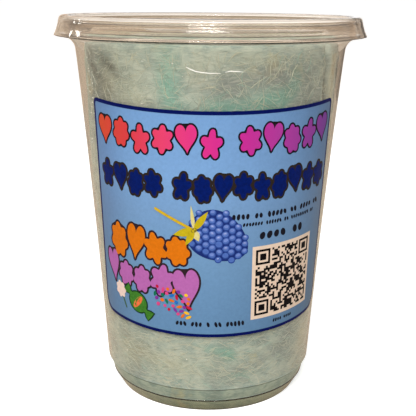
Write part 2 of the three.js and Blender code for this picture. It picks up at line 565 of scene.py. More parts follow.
@dataclass(frozen=True)
class ShadedGroundInk:
    """The label's blue ground, lighter toward the top as a painted sheen and darker toward its sides as
    painted shade.
    """

    name: str
    painted_rise: tuple[tuple[float, Color], ...]
    across: tuple[tuple[float, Color], ...]
    mottle: float = 0.05

    def material(self) -> bpy.types.Material:
        """Semi-gloss ink with a painted sheen that grows with height and painted shade toward both sides.

        Returns:
            The material.
        """
        sheet = NodeSheet(self.name)
        place = sheet.object_place()
        parts = sheet.add("SeparateXYZ", {"Vector": place}).outputs
        tall = LABEL_HIGH.z - LABEL_LOW.z
        up = sheet.calc("DIVIDE", sheet.calc("SUBTRACT", parts["Z"], LABEL_LOW.z), tall, clamp=True)
        wide = LABEL_HIGH.x - LABEL_LOW.x
        side = sheet.calc("DIVIDE", sheet.calc("SUBTRACT", parts["X"], LABEL_LOW.x), wide, clamp=True)
        # Painted light: sheen that grows with height, and shade toward both sides.
        rise, side_shade = sheet.ramp(up, list(self.painted_rise)), sheet.ramp(side, list(self.across))
        tone = sheet.mix(1.0, rise, side_shade, "MULTIPLY")
        low = (1 - 2 * self.mottle,) * 3
        grain = sheet.ramp(sheet.noise(place, 900.0, 3.0, 0.6), [(0.3, low), (0.7, (1.0, 1.0, 1.0))])
        surface = sheet.add("BsdfPrincipled", {
            "Base Color": sheet.mix(1.0, tone, grain, "MULTIPLY"), "Roughness": 0.38,
            "Specular IOR Level": 0.2,
        })
        return sheet.show(surface.outputs[0])


# ------------------------------------------------------------------ the tub


@dataclass
class TallWall:
    """The tub's long tapering wall, which everything inside and outside follows."""

    foot_radius: float = 41.0 * MM
    foot_height: float = 13.0 * MM
    head_radius: float = 50.2 * MM
    head_height: float = 128.5 * MM
    waist: float = 0.45 * MM

    def radius(self, height: float) -> float:
        """Outer radius at a height.

        Args:
            height: Height above the floor.

        Returns:
            The radius, drawn in a little at half height.
        """
        t = (height - self.foot_height) / (self.head_height - self.foot_height)
        straight = self.foot_radius + (self.head_radius - self.foot_radius) * t
        return straight - 4 * self.waist * max(t, 0.0) * max(1 - t, 0.0)

    @property
    def half_angle(self) -> float:
        """Half the angle of the cone that the wall lies on."""
        rise = self.head_height - self.foot_height
        return math.atan((self.head_radius - self.foot_radius) / rise)


@dataclass
class Tub:
    """Formed tub: standing ring, stepped foot, tall wall, hollow neck and snap collar."""

    wall: TallWall
    finish: ClearPlastic
    sheet_thickness: float = 0.6 * MM
    segments: int = 192
    stand_radius: float = 36.0 * MM
    stand_width: float = 2.0 * MM
    punt_radius: float = 32.2 * MM
    punt_height: float = 2.0 * MM
    bead_radius: float = 38.8 * MM
    bead_height: float = 5.2 * MM
    ledge_height: float = 10.4 * MM
    ledge_relief: float = 0.4 * MM
    neck_radius: float = 5.0 * MM
    neck_drop: float = 1.25 * MM
    neck_reach: float = 1.0 * MM
    collar_radius: float = 54.6 * MM
    flange_height: float = 138.0 * MM
    snap_radius: float = 55.3 * MM

    def profile(self) -> list[Point]:
        """The outside of the formed sheet, from the middle of the underside to the collar's top.

        Returns:
            The (radius, height) points.
        """
        stand_inner = self.stand_radius - self.stand_width
        rounding = 0.5 * MM
        wall_foot = self.ledge_height + self.ledge_relief
        ledge_radius = self.wall.radius(self.ledge_height) - self.ledge_relief
        rise = self.wall.head_height - wall_foot
        tall = [wall_foot + rise * i / 24 for i in range(25)]
        neck_centre = (self.collar_radius + self.neck_reach, self.neck_level)
        fold = 0.35 * MM
        flange = TUB_HIGH.x - fold
        top = TUB_HIGH.z
        return [
            (0.0, self.punt_height),
            (self.punt_radius - rounding, self.punt_height),
            *arc((self.punt_radius - rounding, self.punt_height - rounding), rounding, 80, 30, 4),
            *arc((stand_inner + rounding, rounding), rounding, 215, 270, 4),
            *arc((self.stand_radius - rounding, rounding), rounding, 270, 335, 5),
            (self.bead_radius - 0.35 * MM, self.bead_height - 0.55 * MM),
            *arc((self.bead_radius - 0.3 * MM, self.bead_height), 0.3 * MM, -60, 60, 4),
            (self.bead_radius - 0.05 * MM, self.bead_height + 0.6 * MM),
            (ledge_radius - 0.1 * MM, self.ledge_height - 0.3 * MM),
            *arc((ledge_radius + 0.1 * MM, self.ledge_height), 0.2 * MM, 180, 120, 3),
            *[(self.wall.radius(z), z) for z in tall],
            *arc(neck_centre, self.neck_radius, 175, 90, 14),
            (neck_centre[0] + 0.1 * MM, self.flange_height - 2 * fold - 0.05 * MM),
            *arc((flange, self.flange_height - fold), fold, -90, 90, 6),
            *arc((self.collar_radius + fold, self.flange_height + fold), fold, 270, 180, 4),
            (self.collar_radius, top - 2.0 * MM),
            *arc((self.snap_radius - 0.5 * MM, top - 1.1 * MM), 0.5 * MM, -60, 90, 8),
            (self.collar_radius - 0.2 * MM, top - 0.6 * MM),
        ]

    @property
    def neck_level(self) -> float:
        """Height of the centre of the neck's curve."""
        return self.flange_height - self.neck_drop - self.neck_radius

    def outer_radius(self, height: float) -> float:
        """Outer radius of the wall or neck at a height.

        Args:
            height: Height above the floor.

        Returns:
            The radius.
        """
        centre = self.neck_level
        if height <= self.wall.head_height:
            return self.wall.radius(height)
        start = Vector((self.wall.radius(self.wall.head_height), self.wall.head_height))
        lowest = centre + self.neck_radius * math.sin(math.radians(175))
        across = self.collar_radius + self.neck_reach
        if height >= lowest:
            return across - math.sqrt(max(self.neck_radius ** 2 - (height - centre) ** 2, 0.0))
        end = across - self.neck_radius * math.cos(math.radians(5))
        return start.x + (end - start.x) * (height - start.y) / (lowest - start.y)

    def build(self) -> None:
        """Spin the sheet, give it its thickness and add the painted highlight under the neck."""
        piece = finished("tub_shell", spun(self.profile(), self.segments), self.finish.material())
        solid = piece.modifiers.new("sheet", "SOLIDIFY")
        solid.thickness = self.sheet_thickness
        solid.offset = -1.0
        solid.use_even_offset = True
        declare(piece, "tub")
        PaintedGlint(self).build()


@dataclass
class PaintedGlint:
    """A painted highlight: fine near-white ridges where the tall wall turns into the neck, standing for
    light caught along the crease there.
    """

    tub: Tub
    runs: tuple[tuple[Point, ...], ...] = (
        ((-9.0, 129.2), (-7.5, 128.5), (-5.5, 127.8), (-3.0, 127.4), (0.0, 127.2), (3.9, 127.2)),
        ((5.6, 127.5), (7.6, 127.9), (9.6, 127.8), (12.4, 127.6)),
        ((-26.5, 130.6), (-25.7, 130.5)),
        ((-14.3, 130.2), (-13.6, 130.1)),
        ((5.0, 129.6), (5.6, 129.6)),
    )
    thickness: float = 0.16 * MM

    def build(self) -> None:
        """Draw the painted highlight as thin tapering near-white ridges on the wall."""
        # Painted highlight: near-white plastic for the light that the crease catches.
        sheet = NodeSheet("painted_glint_plastic")
        surface = sheet.add("BsdfPrincipled", {"Base Color": (0.97, 0.96, 0.92), "Roughness": 0.12})
        strands = []
        for run in self.runs:
            points = []
            for turn, height in run:
                angle, level = math.radians(turn), height * MM
                radius = self.tub.outer_radius(level)
                points.append(Vector((radius * math.sin(angle), -radius * math.cos(angle), level)))
            strands.append((points, self.thickness))
        piece = bundle("wall_glint", sheet.show(surface.outputs[0]), strands)
        declare(piece)


@dataclass
class Lid:
    """Snap lid: sunk panel with a stacking step, plug wall, rounded crown and flared skirt."""

    finish: ClearPlastic
    sheet_thickness: float = 0.45 * MM
    segments: int = 192
    panel_height: float = 138.9 * MM
    step_radius: float = 44.0 * MM
    step_rise: float = 0.9 * MM
    plug_radius: float = 52.8 * MM
    shoulder_radius: float = 56.4 * MM
    crease_radius: float = 57.25 * MM
    crease_height: float = 139.8 * MM
    crown_rounding: float = 1.5 * MM

    def profile(self) -> list[Point]:
        """The outside of the formed sheet, from the middle of the panel to the skirt's edge.

        Returns:
            The (radius, height) points.
        """
        r = self.crown_rounding
        crown = LID_HIGH.z - r
        fillet = 0.6 * MM
        step_top = self.panel_height + self.step_rise
        return [
            (0.0, step_top),
            (self.step_radius - 0.4 * MM, step_top),
            (self.step_radius, step_top - 0.15 * MM),
            (self.step_radius + self.step_rise - 0.15 * MM, self.panel_height + 0.15 * MM),
            (self.step_radius + self.step_rise + 0.3 * MM, self.panel_height),
            (self.plug_radius - 0.1 * MM - fillet, self.panel_height),
            *arc((self.plug_radius - 0.1 * MM - fillet, self.panel_height + fillet), fillet, 270, 360, 5),
            *arc((self.plug_radius + r, crown), r, 180, 90, 10),
            *arc((self.shoulder_radius - r, crown), r, 90, 10, 10),
            (self.shoulder_radius - 0.02 * MM, crown - 0.1 * MM),
            (self.shoulder_radius + 0.18 * MM, crown - 0.35 * MM),
            (self.shoulder_radius + 0.35 * MM, crown - 1.6 * MM),
            (self.crease_radius - 0.15 * MM, self.crease_height + 0.5 * MM),
            (self.crease_radius + 0.12 * MM, self.crease_height - 0.4 * MM),
            (LID_HIGH.x - 0.12 * MM, LID_LOW.z + 0.3 * MM),
            (LID_HIGH.x, LID_LOW.z),
        ]

    def build(self) -> None:
        """Spin the sheet and give it its thickness."""
        piece = finished("lid_shell", spun(self.profile(), self.segments), self.finish.material())
        solid = piece.modifiers.new("sheet", "SOLIDIFY")
        solid.thickness = self.sheet_thickness
        solid.offset = -1.0
        solid.use_even_offset = True
        declare(piece, "lid")


# ------------------------------------------------------------------ the cotton candy


@dataclass(frozen=True)
class Drift:
    """A soft patch of one tone on the side: where it is, how large, and how it leans."""

    tone: Tone
    turn: float
    level: float
    across: float
    tall: float
    lean: float = 0.0
    strength: float = 1.0

    def weight(self, angle: float, height: float, girth: float) -> float:
        """Strength of the patch at a place on the side.

        Args:
            angle: Angle from the front, anticlockwise seen from above.
            height: Height above the floor.
            girth: Radius that turns angles into distance.

        Returns:
            A value from 0 to the patch's strength.
        """
        away = (angle - math.radians(self.turn) + math.pi) % math.tau - math.pi
        x = away * girth
        y = height - self.level * MM
        c, s = math.cos(math.radians(self.lean)), math.sin(math.radians(self.lean))
        across = (c * x + s * y) / (self.across * MM)
        up = (c * y - s * x) / (self.tall * MM)
        return self.strength * math.exp(-(across * across + up * up))


@dataclass
class Floss:
    """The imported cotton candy: a matted core with loose strands over it."""

    wall: TallWall
    finish: FlossFinish = FlossFinish()
    wall_thickness: float = 0.6 * MM
    core_depth: float = 0.12 * MM
    pull_back: float = 2.2 * MM
    pull_start: float = 78.0 * MM
    fold_depth: float = 0.9 * MM
    top_rounding: float = 3.5 * MM
    foot: float = 10.4 * MM
    girth: float = 46.0 * MM
    segments: int = 320
    rings: int = 200
    strands: int = 15000
    most_strands: int = 3200
    top_share: float = 0.16
    strand_lift: float = 0.09 * MM
    strand_radii: tuple[float, ...] = (0.05 * MM, 0.065 * MM, 0.085 * MM, 0.11 * MM)
    crystals: int = 110
    drifts: list[Drift] = field(default_factory=list)

    def __post_init__(self) -> None:
        """Set the drifts that face the front, then scatter more of them round the back."""
        self.drifts = [
            Drift(Tone.TEAL, -17, 122, 5, 16, 4, 0.9),
            Drift(Tone.TEAL, -14, 108, 7, 6, 0, 0.7),
            Drift(Tone.TEAL, 3, 114, 9, 8, 20, 0.8),
            Drift(Tone.TEAL, 13, 108, 14, 5, 0, 0.9),
            Drift(Tone.TEAL, 25, 114, 11, 4, 38, 1.0),
            Drift(Tone.TEAL, 8, 106, 20, 5, 0, 0.7),
            Drift(Tone.TEAL, 22, 118, 14, 9, 0, 0.66),
            Drift(Tone.CREAM, 2, 20, 24, 9, 0, 0.4),
            Drift(Tone.TEAL, 30, 107, 9, 4, 20, 0.4),
            Drift(Tone.TEAL, 38, 124, 3, 5, 0, 0.9),
            Drift(Tone.TEAL, 3, 27, 8, 2.5, -15, 0.6),
            Drift(Tone.TEAL, 11, 25, 4, 4, 20, 0.6),
            Drift(Tone.TEAL, 15, 16, 5, 1.5, 10, 0.5),
            Drift(Tone.TEAL, -6, 21, 4, 1.2, 20, 0.4),
            Drift(Tone.CREAM, -33, 118, 8, 12, 20, 0.7),
            Drift(Tone.CREAM, -50, 122, 7, 10, 0, 0.8),
            Drift(Tone.CREAM, -5, 126, 5, 8, -10, 0.45),
            Drift(Tone.CREAM, 18, 131, 12, 3, 0, 0.5),
            Drift(Tone.CREAM, 33, 112, 6, 9, 10, 0.35),
            Drift(Tone.CREAM, 67, 116, 3.2, 20, 0, 1.3),
            Drift(Tone.CREAM, -45, 22, 14, 9, 0, 0.75),
            Drift(Tone.CREAM, -20, 20, 10, 4, -10, 0.4),
            Drift(Tone.CREAM, 62, 24, 7, 10, 0, 0.9),
            # Painted shade: these two grey drifts darken the sides, where less light falls.
            Drift(Tone.GREY, -52, 118, 12, 25, 0, 0.45),
            Drift(Tone.GREY, 47, 118, 12, 25, 0, 0.6),
            Drift(Tone.GREY, 55, 22, 14, 10, 0, 0.4),
            # Painted shade: this broad grey drift darkens the top, which the lamps light most.
            Drift(Tone.GREY, 8, 122, 34, 15, 0, 0.42),
            # Painted shade: dark streaks in the folds.
            Drift(Tone.SHADE, -46, 128, 7, 2, -30, 0.5),
            Drift(Tone.SHADE, 33, 135, 3, 1.5, 0, 0.5),
            Drift(Tone.GREY, -28, 109, 6, 5, 20, 0.6),
            Drift(Tone.GREY, 8, 122, 10, 6, 10, 0.6),
            Drift(Tone.GREY, 28, 126, 9, 5, 0, 0.6),
            # Painted shade: dark folds, the gaps at the candy's edges and both sides, where less light
            # falls.
            Drift(Tone.SHADE, 60.5, 118, 2.0, 18, 2, 1.3),
            Drift(Tone.SHADE, 78, 116, 5.2, 34, 0, 1.2),
            Drift(Tone.SHADE, 50, 118, 12, 22, 0, 0.36),
            Drift(Tone.SHADE, -77, 112, 1.6, 34, 0, 0.9),
            Drift(Tone.SHADE, -58, 120, 16, 24, 0, 0.82),
            Drift(Tone.SHADE, -60, 126, 7, 1.3, -28, 0.5),
            Drift(Tone.SHADE, -66, 132, 5, 2.5, 0, 0.4),
            Drift(Tone.SHADE, -30, 131, 9, 2.2, -8, 0.25),
            Drift(Tone.GREY, 20, 19, 12, 3, 12, 0.7),
            Drift(Tone.GREY, 40, 26, 9, 4, 25, 0.6),
        ]
        draw = random.Random(SEED)
        tones = (Tone.TEAL, Tone.TEAL, Tone.CREAM, Tone.GREY)
        for _ in range(90):
            turn = draw.uniform(78, 282)
            level = draw.uniform(12, 134)
            upright = level > 90
            across = draw.uniform(3, 9) if upright else draw.uniform(6, 14)
            tall = draw.uniform(6, 16) if upright else draw.uniform(2, 6)
            strength = draw.uniform(0.4, 0.9)
            self.drifts.append(
                Drift(draw.choice(tones), turn, level, across, tall, draw.gauss(0, 20), strength)
            )
        for _ in range(26):
            turn = draw.uniform(-78, 78)
            level = draw.uniform(34, 102)
            self.drifts.append(Drift(draw.choice(tones), turn, level, 8, 5, draw.gauss(0, 20), 0.6))

    def tone_at(self, tone: Tone, angle: float, height: float) -> float:
        """Strength of a tone at a place on the side.

        Args:
            tone: The tone.
            angle: Angle from the front.
            height: Height above the floor.

        Returns:
            A value from 0 to 1.
        """
        near = [d for d in self.drifts if d.tone is tone]
        total = sum(d.weight(angle, height, self.girth) for d in near)
        return min(total, 1.0)

    def side_radius(self, angle: float, height: float) -> float:
        """Radius of the matted surface.

        Args:
            angle: Angle from the front.
            height: Height above the floor.

        Returns:
            The radius there, folds and lumps included.
        """
        t = (height - self.pull_start) / (self.wall.head_height - self.pull_start)
        t = min(max(t, 0.0), 1.0)
        loose = t * t * (3 - 2 * t)
        place = Vector((math.cos(angle), math.sin(angle), height / self.girth))
        folds = noise.noise(place * 2.2) + 0.5 * noise.noise(place * 6.0)
        lumps = noise.fractal(place * 9.0, 0.8, 2.1, 3)
        creases = sum(
            math.exp(-(((angle - math.radians(turn) + math.pi) % math.tau - math.pi) / 0.035) ** 2)
            for turn in (61.0, -77.0, 118.0, 171.0, 228.0)
        )
        beside = (angle - math.radians(88.0) + math.pi) % math.tau - math.pi
        bulge = 1.2 * MM * math.exp(-(beside / 0.36) ** 2)
        depth = self.pull_back - bulge + self.fold_depth * 0.6 * folds + 1.6 * MM * creases
        inward = loose * depth
        inner = self.wall.radius(min(height, self.wall.head_height)) - self.wall_thickness
        return inner - self.core_depth - max(inward, 0.0) + (0.06 + 0.12 * loose) * MM * lumps

    def top_height(self, x: float, y: float) -> float:
        """Height of the heaped top at a place.

        Args:
            x: Place along X.
            y: Place along Y.

        Returns:
            The height above the floor.
        """
        edge = self.wall.head_radius - self.wall_thickness - self.pull_back
        inner = 1 - min(math.hypot(x, y) / edge, 1.0) ** 4
        place = Vector((x, y, 0)) / (15 * MM)
        heap = noise.fractal(place, 0.8, 2.0, 5) + 0.6 * noise.noise(place * 0.7)
        return FLOSS_HIGH.z - 0.2 * MM + (1.1 * heap - 1.3) * MM * inner

    def build(self) -> None:
        """Build the core, then the loose strands and the grains on it."""
        self.build_core()
        self.build_strands()
        self.build_crystals()

    def build_core(self) -> None:
        """Spin the outline, then press folds, lumps and the heaped top into it."""
        shoulder = FLOSS_HIGH.z - self.top_rounding
        top_radius = self.wall.head_radius - self.wall_thickness - self.pull_back
        rise = shoulder - self.foot
        inset = self.wall_thickness - 0.1 * MM
        profile = [(r * MM, z * MM + inset) for r, z in ((0, 2.0), (15, 2.0), (31.8, 2.0), (34.5, 0.05))]
        profile += [(r * MM - inset, z * MM) for r, z in ((35.8, 0.6), (38.5, 5.3), (39.5, 7.8))]
        profile += [(44 * MM, self.foot + rise * i / self.rings) for i in range(self.rings + 1)]
        profile += arc((top_radius - self.top_rounding, shoulder), self.top_rounding, 15, 90, 8)
        profile += [(top_radius * (1 - i / 50), FLOSS_HIGH.z) for i in range(4, 51)]
        shape = spun(profile, self.segments)
        for vertex in shape.verts:
            self.shape_vertex(vertex, shoulder, top_radius)
        self.paint(shape)
        piece = finished("floss_core", shape, self.finish.material(), 180.0)
        declare(piece, "cotton_candy")

    def shape_vertex(self, vertex: bmesh.types.BMVert, shoulder: float, top_radius: float) -> None:
        """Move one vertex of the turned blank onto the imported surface.

        Args:
            vertex: The vertex.
            shoulder: Height where the top starts to round over.
            top_radius: Radius of the top.
        """
        place = vertex.co
        angle = math.atan2(place.x, -place.y)
        radius = math.hypot(place.x, place.y)
        wanted = radius
        if self.foot - 0.01 * MM <= place.z <= shoulder + 0.01 * MM:
            wanted = self.side_radius(angle, place.z)
        elif place.z > shoulder:
            reach = min(radius / top_radius, 1.0) ** 4
            wanted = radius * (1 + reach * (self.side_radius(angle, shoulder) / top_radius - 1))
            over = (place.z - shoulder) / self.top_rounding
            place.z += over * (self.top_height(place.x, place.y) - FLOSS_HIGH.z)
        if radius > 1e-6:
            place.x *= wanted / radius
            place.y *= wanted / radius

    def paint(self, shape: bmesh.types.BMesh) -> None:
        """Give the core its wrap-round map and the strengths of its tones.

        Args:
            shape: The shaped core.
        """
        own = shape.loops.layers.uv.new("wrap")
        tones = shape.verts.layers.float_color.new("tones")
        for vertex in shape.verts:
            place = vertex.co
            angle = math.atan2(place.x, -place.y)
            inward = math.hypot(place.x, place.y) / self.wall.radius(min(place.z, self.wall.head_height))
            share = min(max(1.6 * inward - 0.5, 0.0), 1.0) ** 3
            # Teal, cream and grey are the sugar's tones; the fourth channel is the strength of painted
            # shade.
            vertex[tones] = Vector([
                share * self.tone_at(tone, angle, place.z)
                for tone in (Tone.TEAL, Tone.CREAM, Tone.GREY, Tone.SHADE)
            ])
        for face in shape.faces:
            middle = face.calc_center_median()
            centre = math.atan2(middle.x, -middle.y)
            flat = face.normal.z > 0.75
            for loop in face.loops:
                place = loop.vert.co
                angle = math.atan2(place.x, -place.y)
                angle += math.tau * round((centre - angle) / math.tau)
                loop[own].uv = (place.x, place.y) if flat else (angle * self.girth, place.z)

    def lay(self, draw: random.Random) -> tuple[list[Vector], float, float]:
        """The course of one strand over the side or the top.

        Args:
            draw: Source of chance.

        Returns:
            The strand's points, and the angle and height where it starts.
        """
        on_top = draw.random() < self.top_share
        steps = draw.randint(5, 8)
        step = draw.uniform(0.45, 1.15) * MM
        bend = draw.gauss(0, 90)
        rise = draw.uniform(0.0, self.strand_lift)
        if on_top:
            return self.lay_on_top(draw, steps, step, bend, rise)
        angle = start = draw.uniform(-math.pi, math.pi)
        height = level = draw.uniform(self.foot + 0.6 * MM, FLOSS_HIGH.z - 4.2 * MM)
        share = min(max((height - 60 * MM) / (50 * MM), 0.0), 1.0)
        heading = draw.gauss(0.3 + 0.75 * share, 0.28 + 0.35 * share) * draw.choice((-1, 1))
        points = []
        for _ in range(steps):
            bounded = min(max(height, self.foot + 0.3 * MM), FLOSS_HIGH.z - 4.0 * MM)
            radius = self.side_radius(angle, bounded) + rise
            points.append(Vector((radius * math.sin(angle), -radius * math.cos(angle), bounded)))
            angle += step * math.cos(heading) / self.girth
            height += step * math.sin(heading)
            heading += bend * step
        return points, start, level

    def lay_on_top(
        self, draw: random.Random, steps: int, step: float, bend: float, rise: float
    ) -> tuple[list[Vector], float, float]:
        """The course of one strand over the top.

        Args:
            draw: Source of chance.
            steps: Number of points.
            step: Distance between points.
            bend: Change of heading for each metre.
            rise: How far the strand stands off the core.

        Returns:
            The strand's points, and the angle and height where it starts.
        """
        out = 43 * MM * math.sqrt(draw.random())
        spin = draw.uniform(-math.pi, math.pi)
        x, y = out * math.sin(spin), -out * math.cos(spin)
        heading = draw.uniform(0, math.tau)
        points = []
        for _ in range(steps):
            points.append(Vector((x, y, self.top_height(x, y) + 0.5 * rise)))
            x += step * math.cos(heading)
            y += step * math.sin(heading)
            heading += 2 * bend * step
        return points, spin, FLOSS_HIGH.z

    def build_strands(self) -> None:
        """Lay loose sugar threads over the core, sorted by the tone of the drift they lie in."""
        draw = random.Random(SEED + 1)
        bundles: dict[Tone, list[tuple[list[Vector], float]]] = {
            tone: [] for tone in (Tone.CREAM, Tone.GREY, Tone.SAGE, Tone.TEAL)
        }
        for _ in range(self.strands):
            points, angle, height = self.lay(draw)
            # No thread where shade is painted, so the painted shade shows.
            if draw.random() < self.tone_at(Tone.SHADE, angle, height):
                continue
            teal = self.tone_at(Tone.TEAL, angle, height)
            cream = self.tone_at(Tone.CREAM, angle, height)
            chance = draw.random()
            if chance < 0.02 + 0.5 * teal:
                tone = Tone.TEAL
            elif chance < 0.5 + 0.3 * teal + 0.3 * cream:
                tone = Tone.CREAM
            elif chance < 0.52:
                tone = Tone.GREY
            else:
                tone = Tone.SAGE
            thick = draw.choice(self.strand_radii)
            bundles[tone].append((points, thick))
        for tone, strands in bundles.items():
            LOG.info("%d %s strands", len(strands), tone.value)
            material = self.finish.strand(tone)
            for part, first in enumerate(range(0, len(strands), self.most_strands)):
                some = strands[first:first + self.most_strands]
                piece = bundle(f"floss_strands_{tone.value}_{part}", material, some)
                declare(piece, "cotton_candy")

    def build_crystals(self) -> None:
        """Scatter small bright sugar grains on the side."""
        draw = random.Random(SEED + 2)
        grains = bmesh.new()
        for number in range(self.crystals):
            angle = draw.uniform(-math.pi, math.pi)
            height = draw.uniform(14 * MM, 134 * MM)
            if number % 4 == 0:
                angle = draw.gauss(math.radians(-66), 0.07)
                height = draw.uniform(98 * MM, 132 * MM)
            size = draw.uniform(0.14, 0.34) * MM
            radius = self.side_radius(angle, height) + 0.3 * size
            place = Vector((radius * math.sin(angle), -radius * math.cos(angle), height))
            turn = Matrix.Rotation(draw.uniform(0, math.tau), 4, Vector((1, 2, 3)))
            bmesh.ops.create_icosphere(
                grains, subdivisions=1, radius=size, matrix=Matrix.Translation(place) @ turn
            )
        sheet = NodeSheet("sugar_grain")
        surface = sheet.add("BsdfPrincipled", {"Base Color": (0.85, 0.86, 0.8), "Roughness": 0.25})
        piece = finished("floss_crystals", grains, sheet.show(surface.outputs[0]), 30.0)
        declare(piece, "cotton_candy")


# ------------------------------------------------------------------ the label


@dataclass
class Roll:
    """Rolls flat artwork onto the tapering wall. Flat x runs round the tub and y up it."""

    wall: TallWall
    height: float = 82.6 * MM
    width: float = 101.6 * MM
    turn: float = math.radians(3.0)
    stand_off: float = 0.03 * MM
    cut_across: float = 1.6 * MM
    cut_up: float = 8.0 * MM

    def place(self, flat: Vector) -> Vector:
        """Where a flat point lies on the tub.

        Args:
            flat: Across and up from the label's middle, and lift off the wall.

        Returns:
            The point in space.
        """
        lean = self.wall.half_angle
        bottom = LABEL_LOW.z
        foot_slant = self.wall.radius(bottom) / math.sin(lean)
        along = foot_slant + flat.y + self.height / 2
        slant = math.hypot(flat.x, along)
        angle = math.atan2(flat.x, along) / math.sin(lean) + self.turn
        level = bottom + (slant - foot_slant) * math.cos(lean)
        radius = self.wall.radius(level) + self.stand_off + flat.z
        return Vector((radius * math.sin(angle), -radius * math.cos(angle), level))

    def apply(self, art: bmesh.types.BMesh, lift: float, thickness: float) -> None:
        """Cut flat faces fine enough to bend, thicken them and roll them on.

        Args:
            art: Flat faces in the XY plane.
            lift: Height of their underside above the label's back.
            thickness: Thickness of the ink or paper.
        """
        art.normal_update()
        bmesh.ops.triangulate(art, faces=art.faces[:], ngon_method="EAR_CLIP")
        low = [min(v.co[i] for v in art.verts) for i in (0, 1)]
        high = [max(v.co[i] for v in art.verts) for i in (0, 1)]
        for axis, step in ((0, self.cut_across), (1, self.cut_up)):
            normal = Vector((1, 0, 0)) if axis == 0 else Vector((0, 1, 0))
            for number in range(math.floor(low[axis] / step) + 1, math.ceil(high[axis] / step)):
                bmesh.ops.bisect_plane(
                    art, geom=art.verts[:] + art.edges[:] + art.faces[:], dist=0.001 * MM,
                    plane_co=normal * (number * step), plane_no=normal,
                )
        own = art.loops.layers.uv.new("print")
        for face in art.faces:
            for loop in face.loops:
                flat = loop.vert.co
                loop[own].uv = (flat.x / self.width + 0.5, flat.y / self.height + 0.5)
        for face in art.faces:
            if face.normal.z < 0:
                face.normal_flip()
        made = bmesh.ops.extrude_face_region(art, geom=art.faces[:], use_keep_orig=True)
        raised = [v for v in made["geom"] if isinstance(v, bmesh.types.BMVert)]
        bmesh.ops.translate(art, verts=raised, vec=(0, 0, thickness))
        bmesh.ops.translate(art, verts=art.verts[:], vec=(0, 0, lift))
        bmesh.ops.recalc_face_normals(art, faces=art.faces[:])
        for vertex in art.verts:
            vertex.co = self.place(vertex.co)


def add_outline(art: bmesh.types.BMesh, points: Iterable[Point]) -> None:
    """Add one flat face with this outline."""
    art.faces.new([art.verts.new((x, y, 0.0)) for x, y in points])


def rounded_box(
    width: float, height: float, corners: tuple[float, float], steps: int = 6
) -> list[Point]:
    """Outline of a rounded rectangle about the origin.

    Args:
        width: Full width.
        height: Full height.
        corners: Radii of the top and the bottom corners.
        steps: Steps in each corner.

    Returns:
        The outline, anticlockwise.
    """
    top, bottom = corners
    x, y = width / 2, height / 2
    return [
        *arc((x - top, y - top), top, 0, 90, steps),
        *arc((-x + top, y - top), top, 90, 180, steps),
        *arc((-x + bottom, -y + bottom), bottom, 180, 270, steps),
        *arc((x - bottom, -y + bottom), bottom, 270, 360, steps),
    ]


class Motif(Enum):
    """Plain puffy shapes that fill the print."""

    HEART = "heart"
    STAR = "star"
    CLOUD = "cloud"
    PEBBLE = "pebble"
    FLOWER = "flower"
    TWIST = "twist"


def swollen(lobes: int, depth: float, start: float, steps: int) -> list[Point]:
    """A round outline that swells into lobes.

    Args:
        lobes: Number of lobes.
        depth: Depth of the dips between them, as a share of the radius.
        start: Angle of the first lobe in degrees.
        steps: Points round the outline.

    Returns:
        The outline, anticlockwise.
    """
    points = []
    for i in range(steps):
        a = math.tau * i / steps
        radius = 1 - depth * (0.5 - 0.5 * math.cos(lobes * (a - math.radians(start)))) ** 1.4
        points.append((radius * math.cos(a), radius * math.sin(a)))
    return points


def mirrored(half: list[Point]) -> list[Point]:
    """Close an outline from its right half, given from the bottom to the top."""
    return half + [(-x, y) for x, y in reversed(half) if x > 1e-6]


def unit_outline(motif: Motif, steps: int = 60) -> list[Point]:
    """Edge of a motif that fills a square from -1 to 1.

    Args:
        motif: Which shape.
        steps: Points round it.

    Returns:
        The outline, anticlockwise.
    """
    turns = [math.tau * i / steps for i in range(steps)]
    if motif is Motif.HEART:
        points = [
            (16 * math.sin(a) ** 3, -13 * math.cos(a) + 5 * math.cos(2 * a)
             + 2 * math.cos(3 * a) + math.cos(4 * a))
            for a in turns
        ]
        points = [(x, -y) for x, y in reversed(points)]
    elif motif is Motif.STAR:
        points = swollen(5, 0.42, 90, steps)
    elif motif is Motif.CLOUD:
        points = swollen(7, 0.2, 90, steps)
    elif motif is Motif.FLOWER:
        points = swollen(6, 0.32, 90, steps)
    elif motif is Motif.TWIST:
        half = [(0.0, -1.0), (0.36, -0.98), (0.27, -0.82), (0.12, -0.64)]
        half += [(0.62 * math.cos(a), 0.56 * math.sin(a)) for a in
                 (math.radians(-76 + 8 * i) for i in range(20))]
        half += [(0.12, 0.64), (0.27, 0.82), (0.36, 0.98), (0.0, 1.0)]
        points = mirrored(half)
    else:
        points = [(math.cos(a), math.sin(a) * (1 + 0.06 * math.cos(a))) for a in turns]
    low = [min(point[axis] for point in points) for axis in (0, 1)]
    high = [max(point[axis] for point in points) for axis in (0, 1)]
    return [
        (2 * (x - low[0]) / (high[0] - low[0]) - 1, 2 * (y - low[1]) / (high[1] - low[1]) - 1)
        for x, y in points
    ]


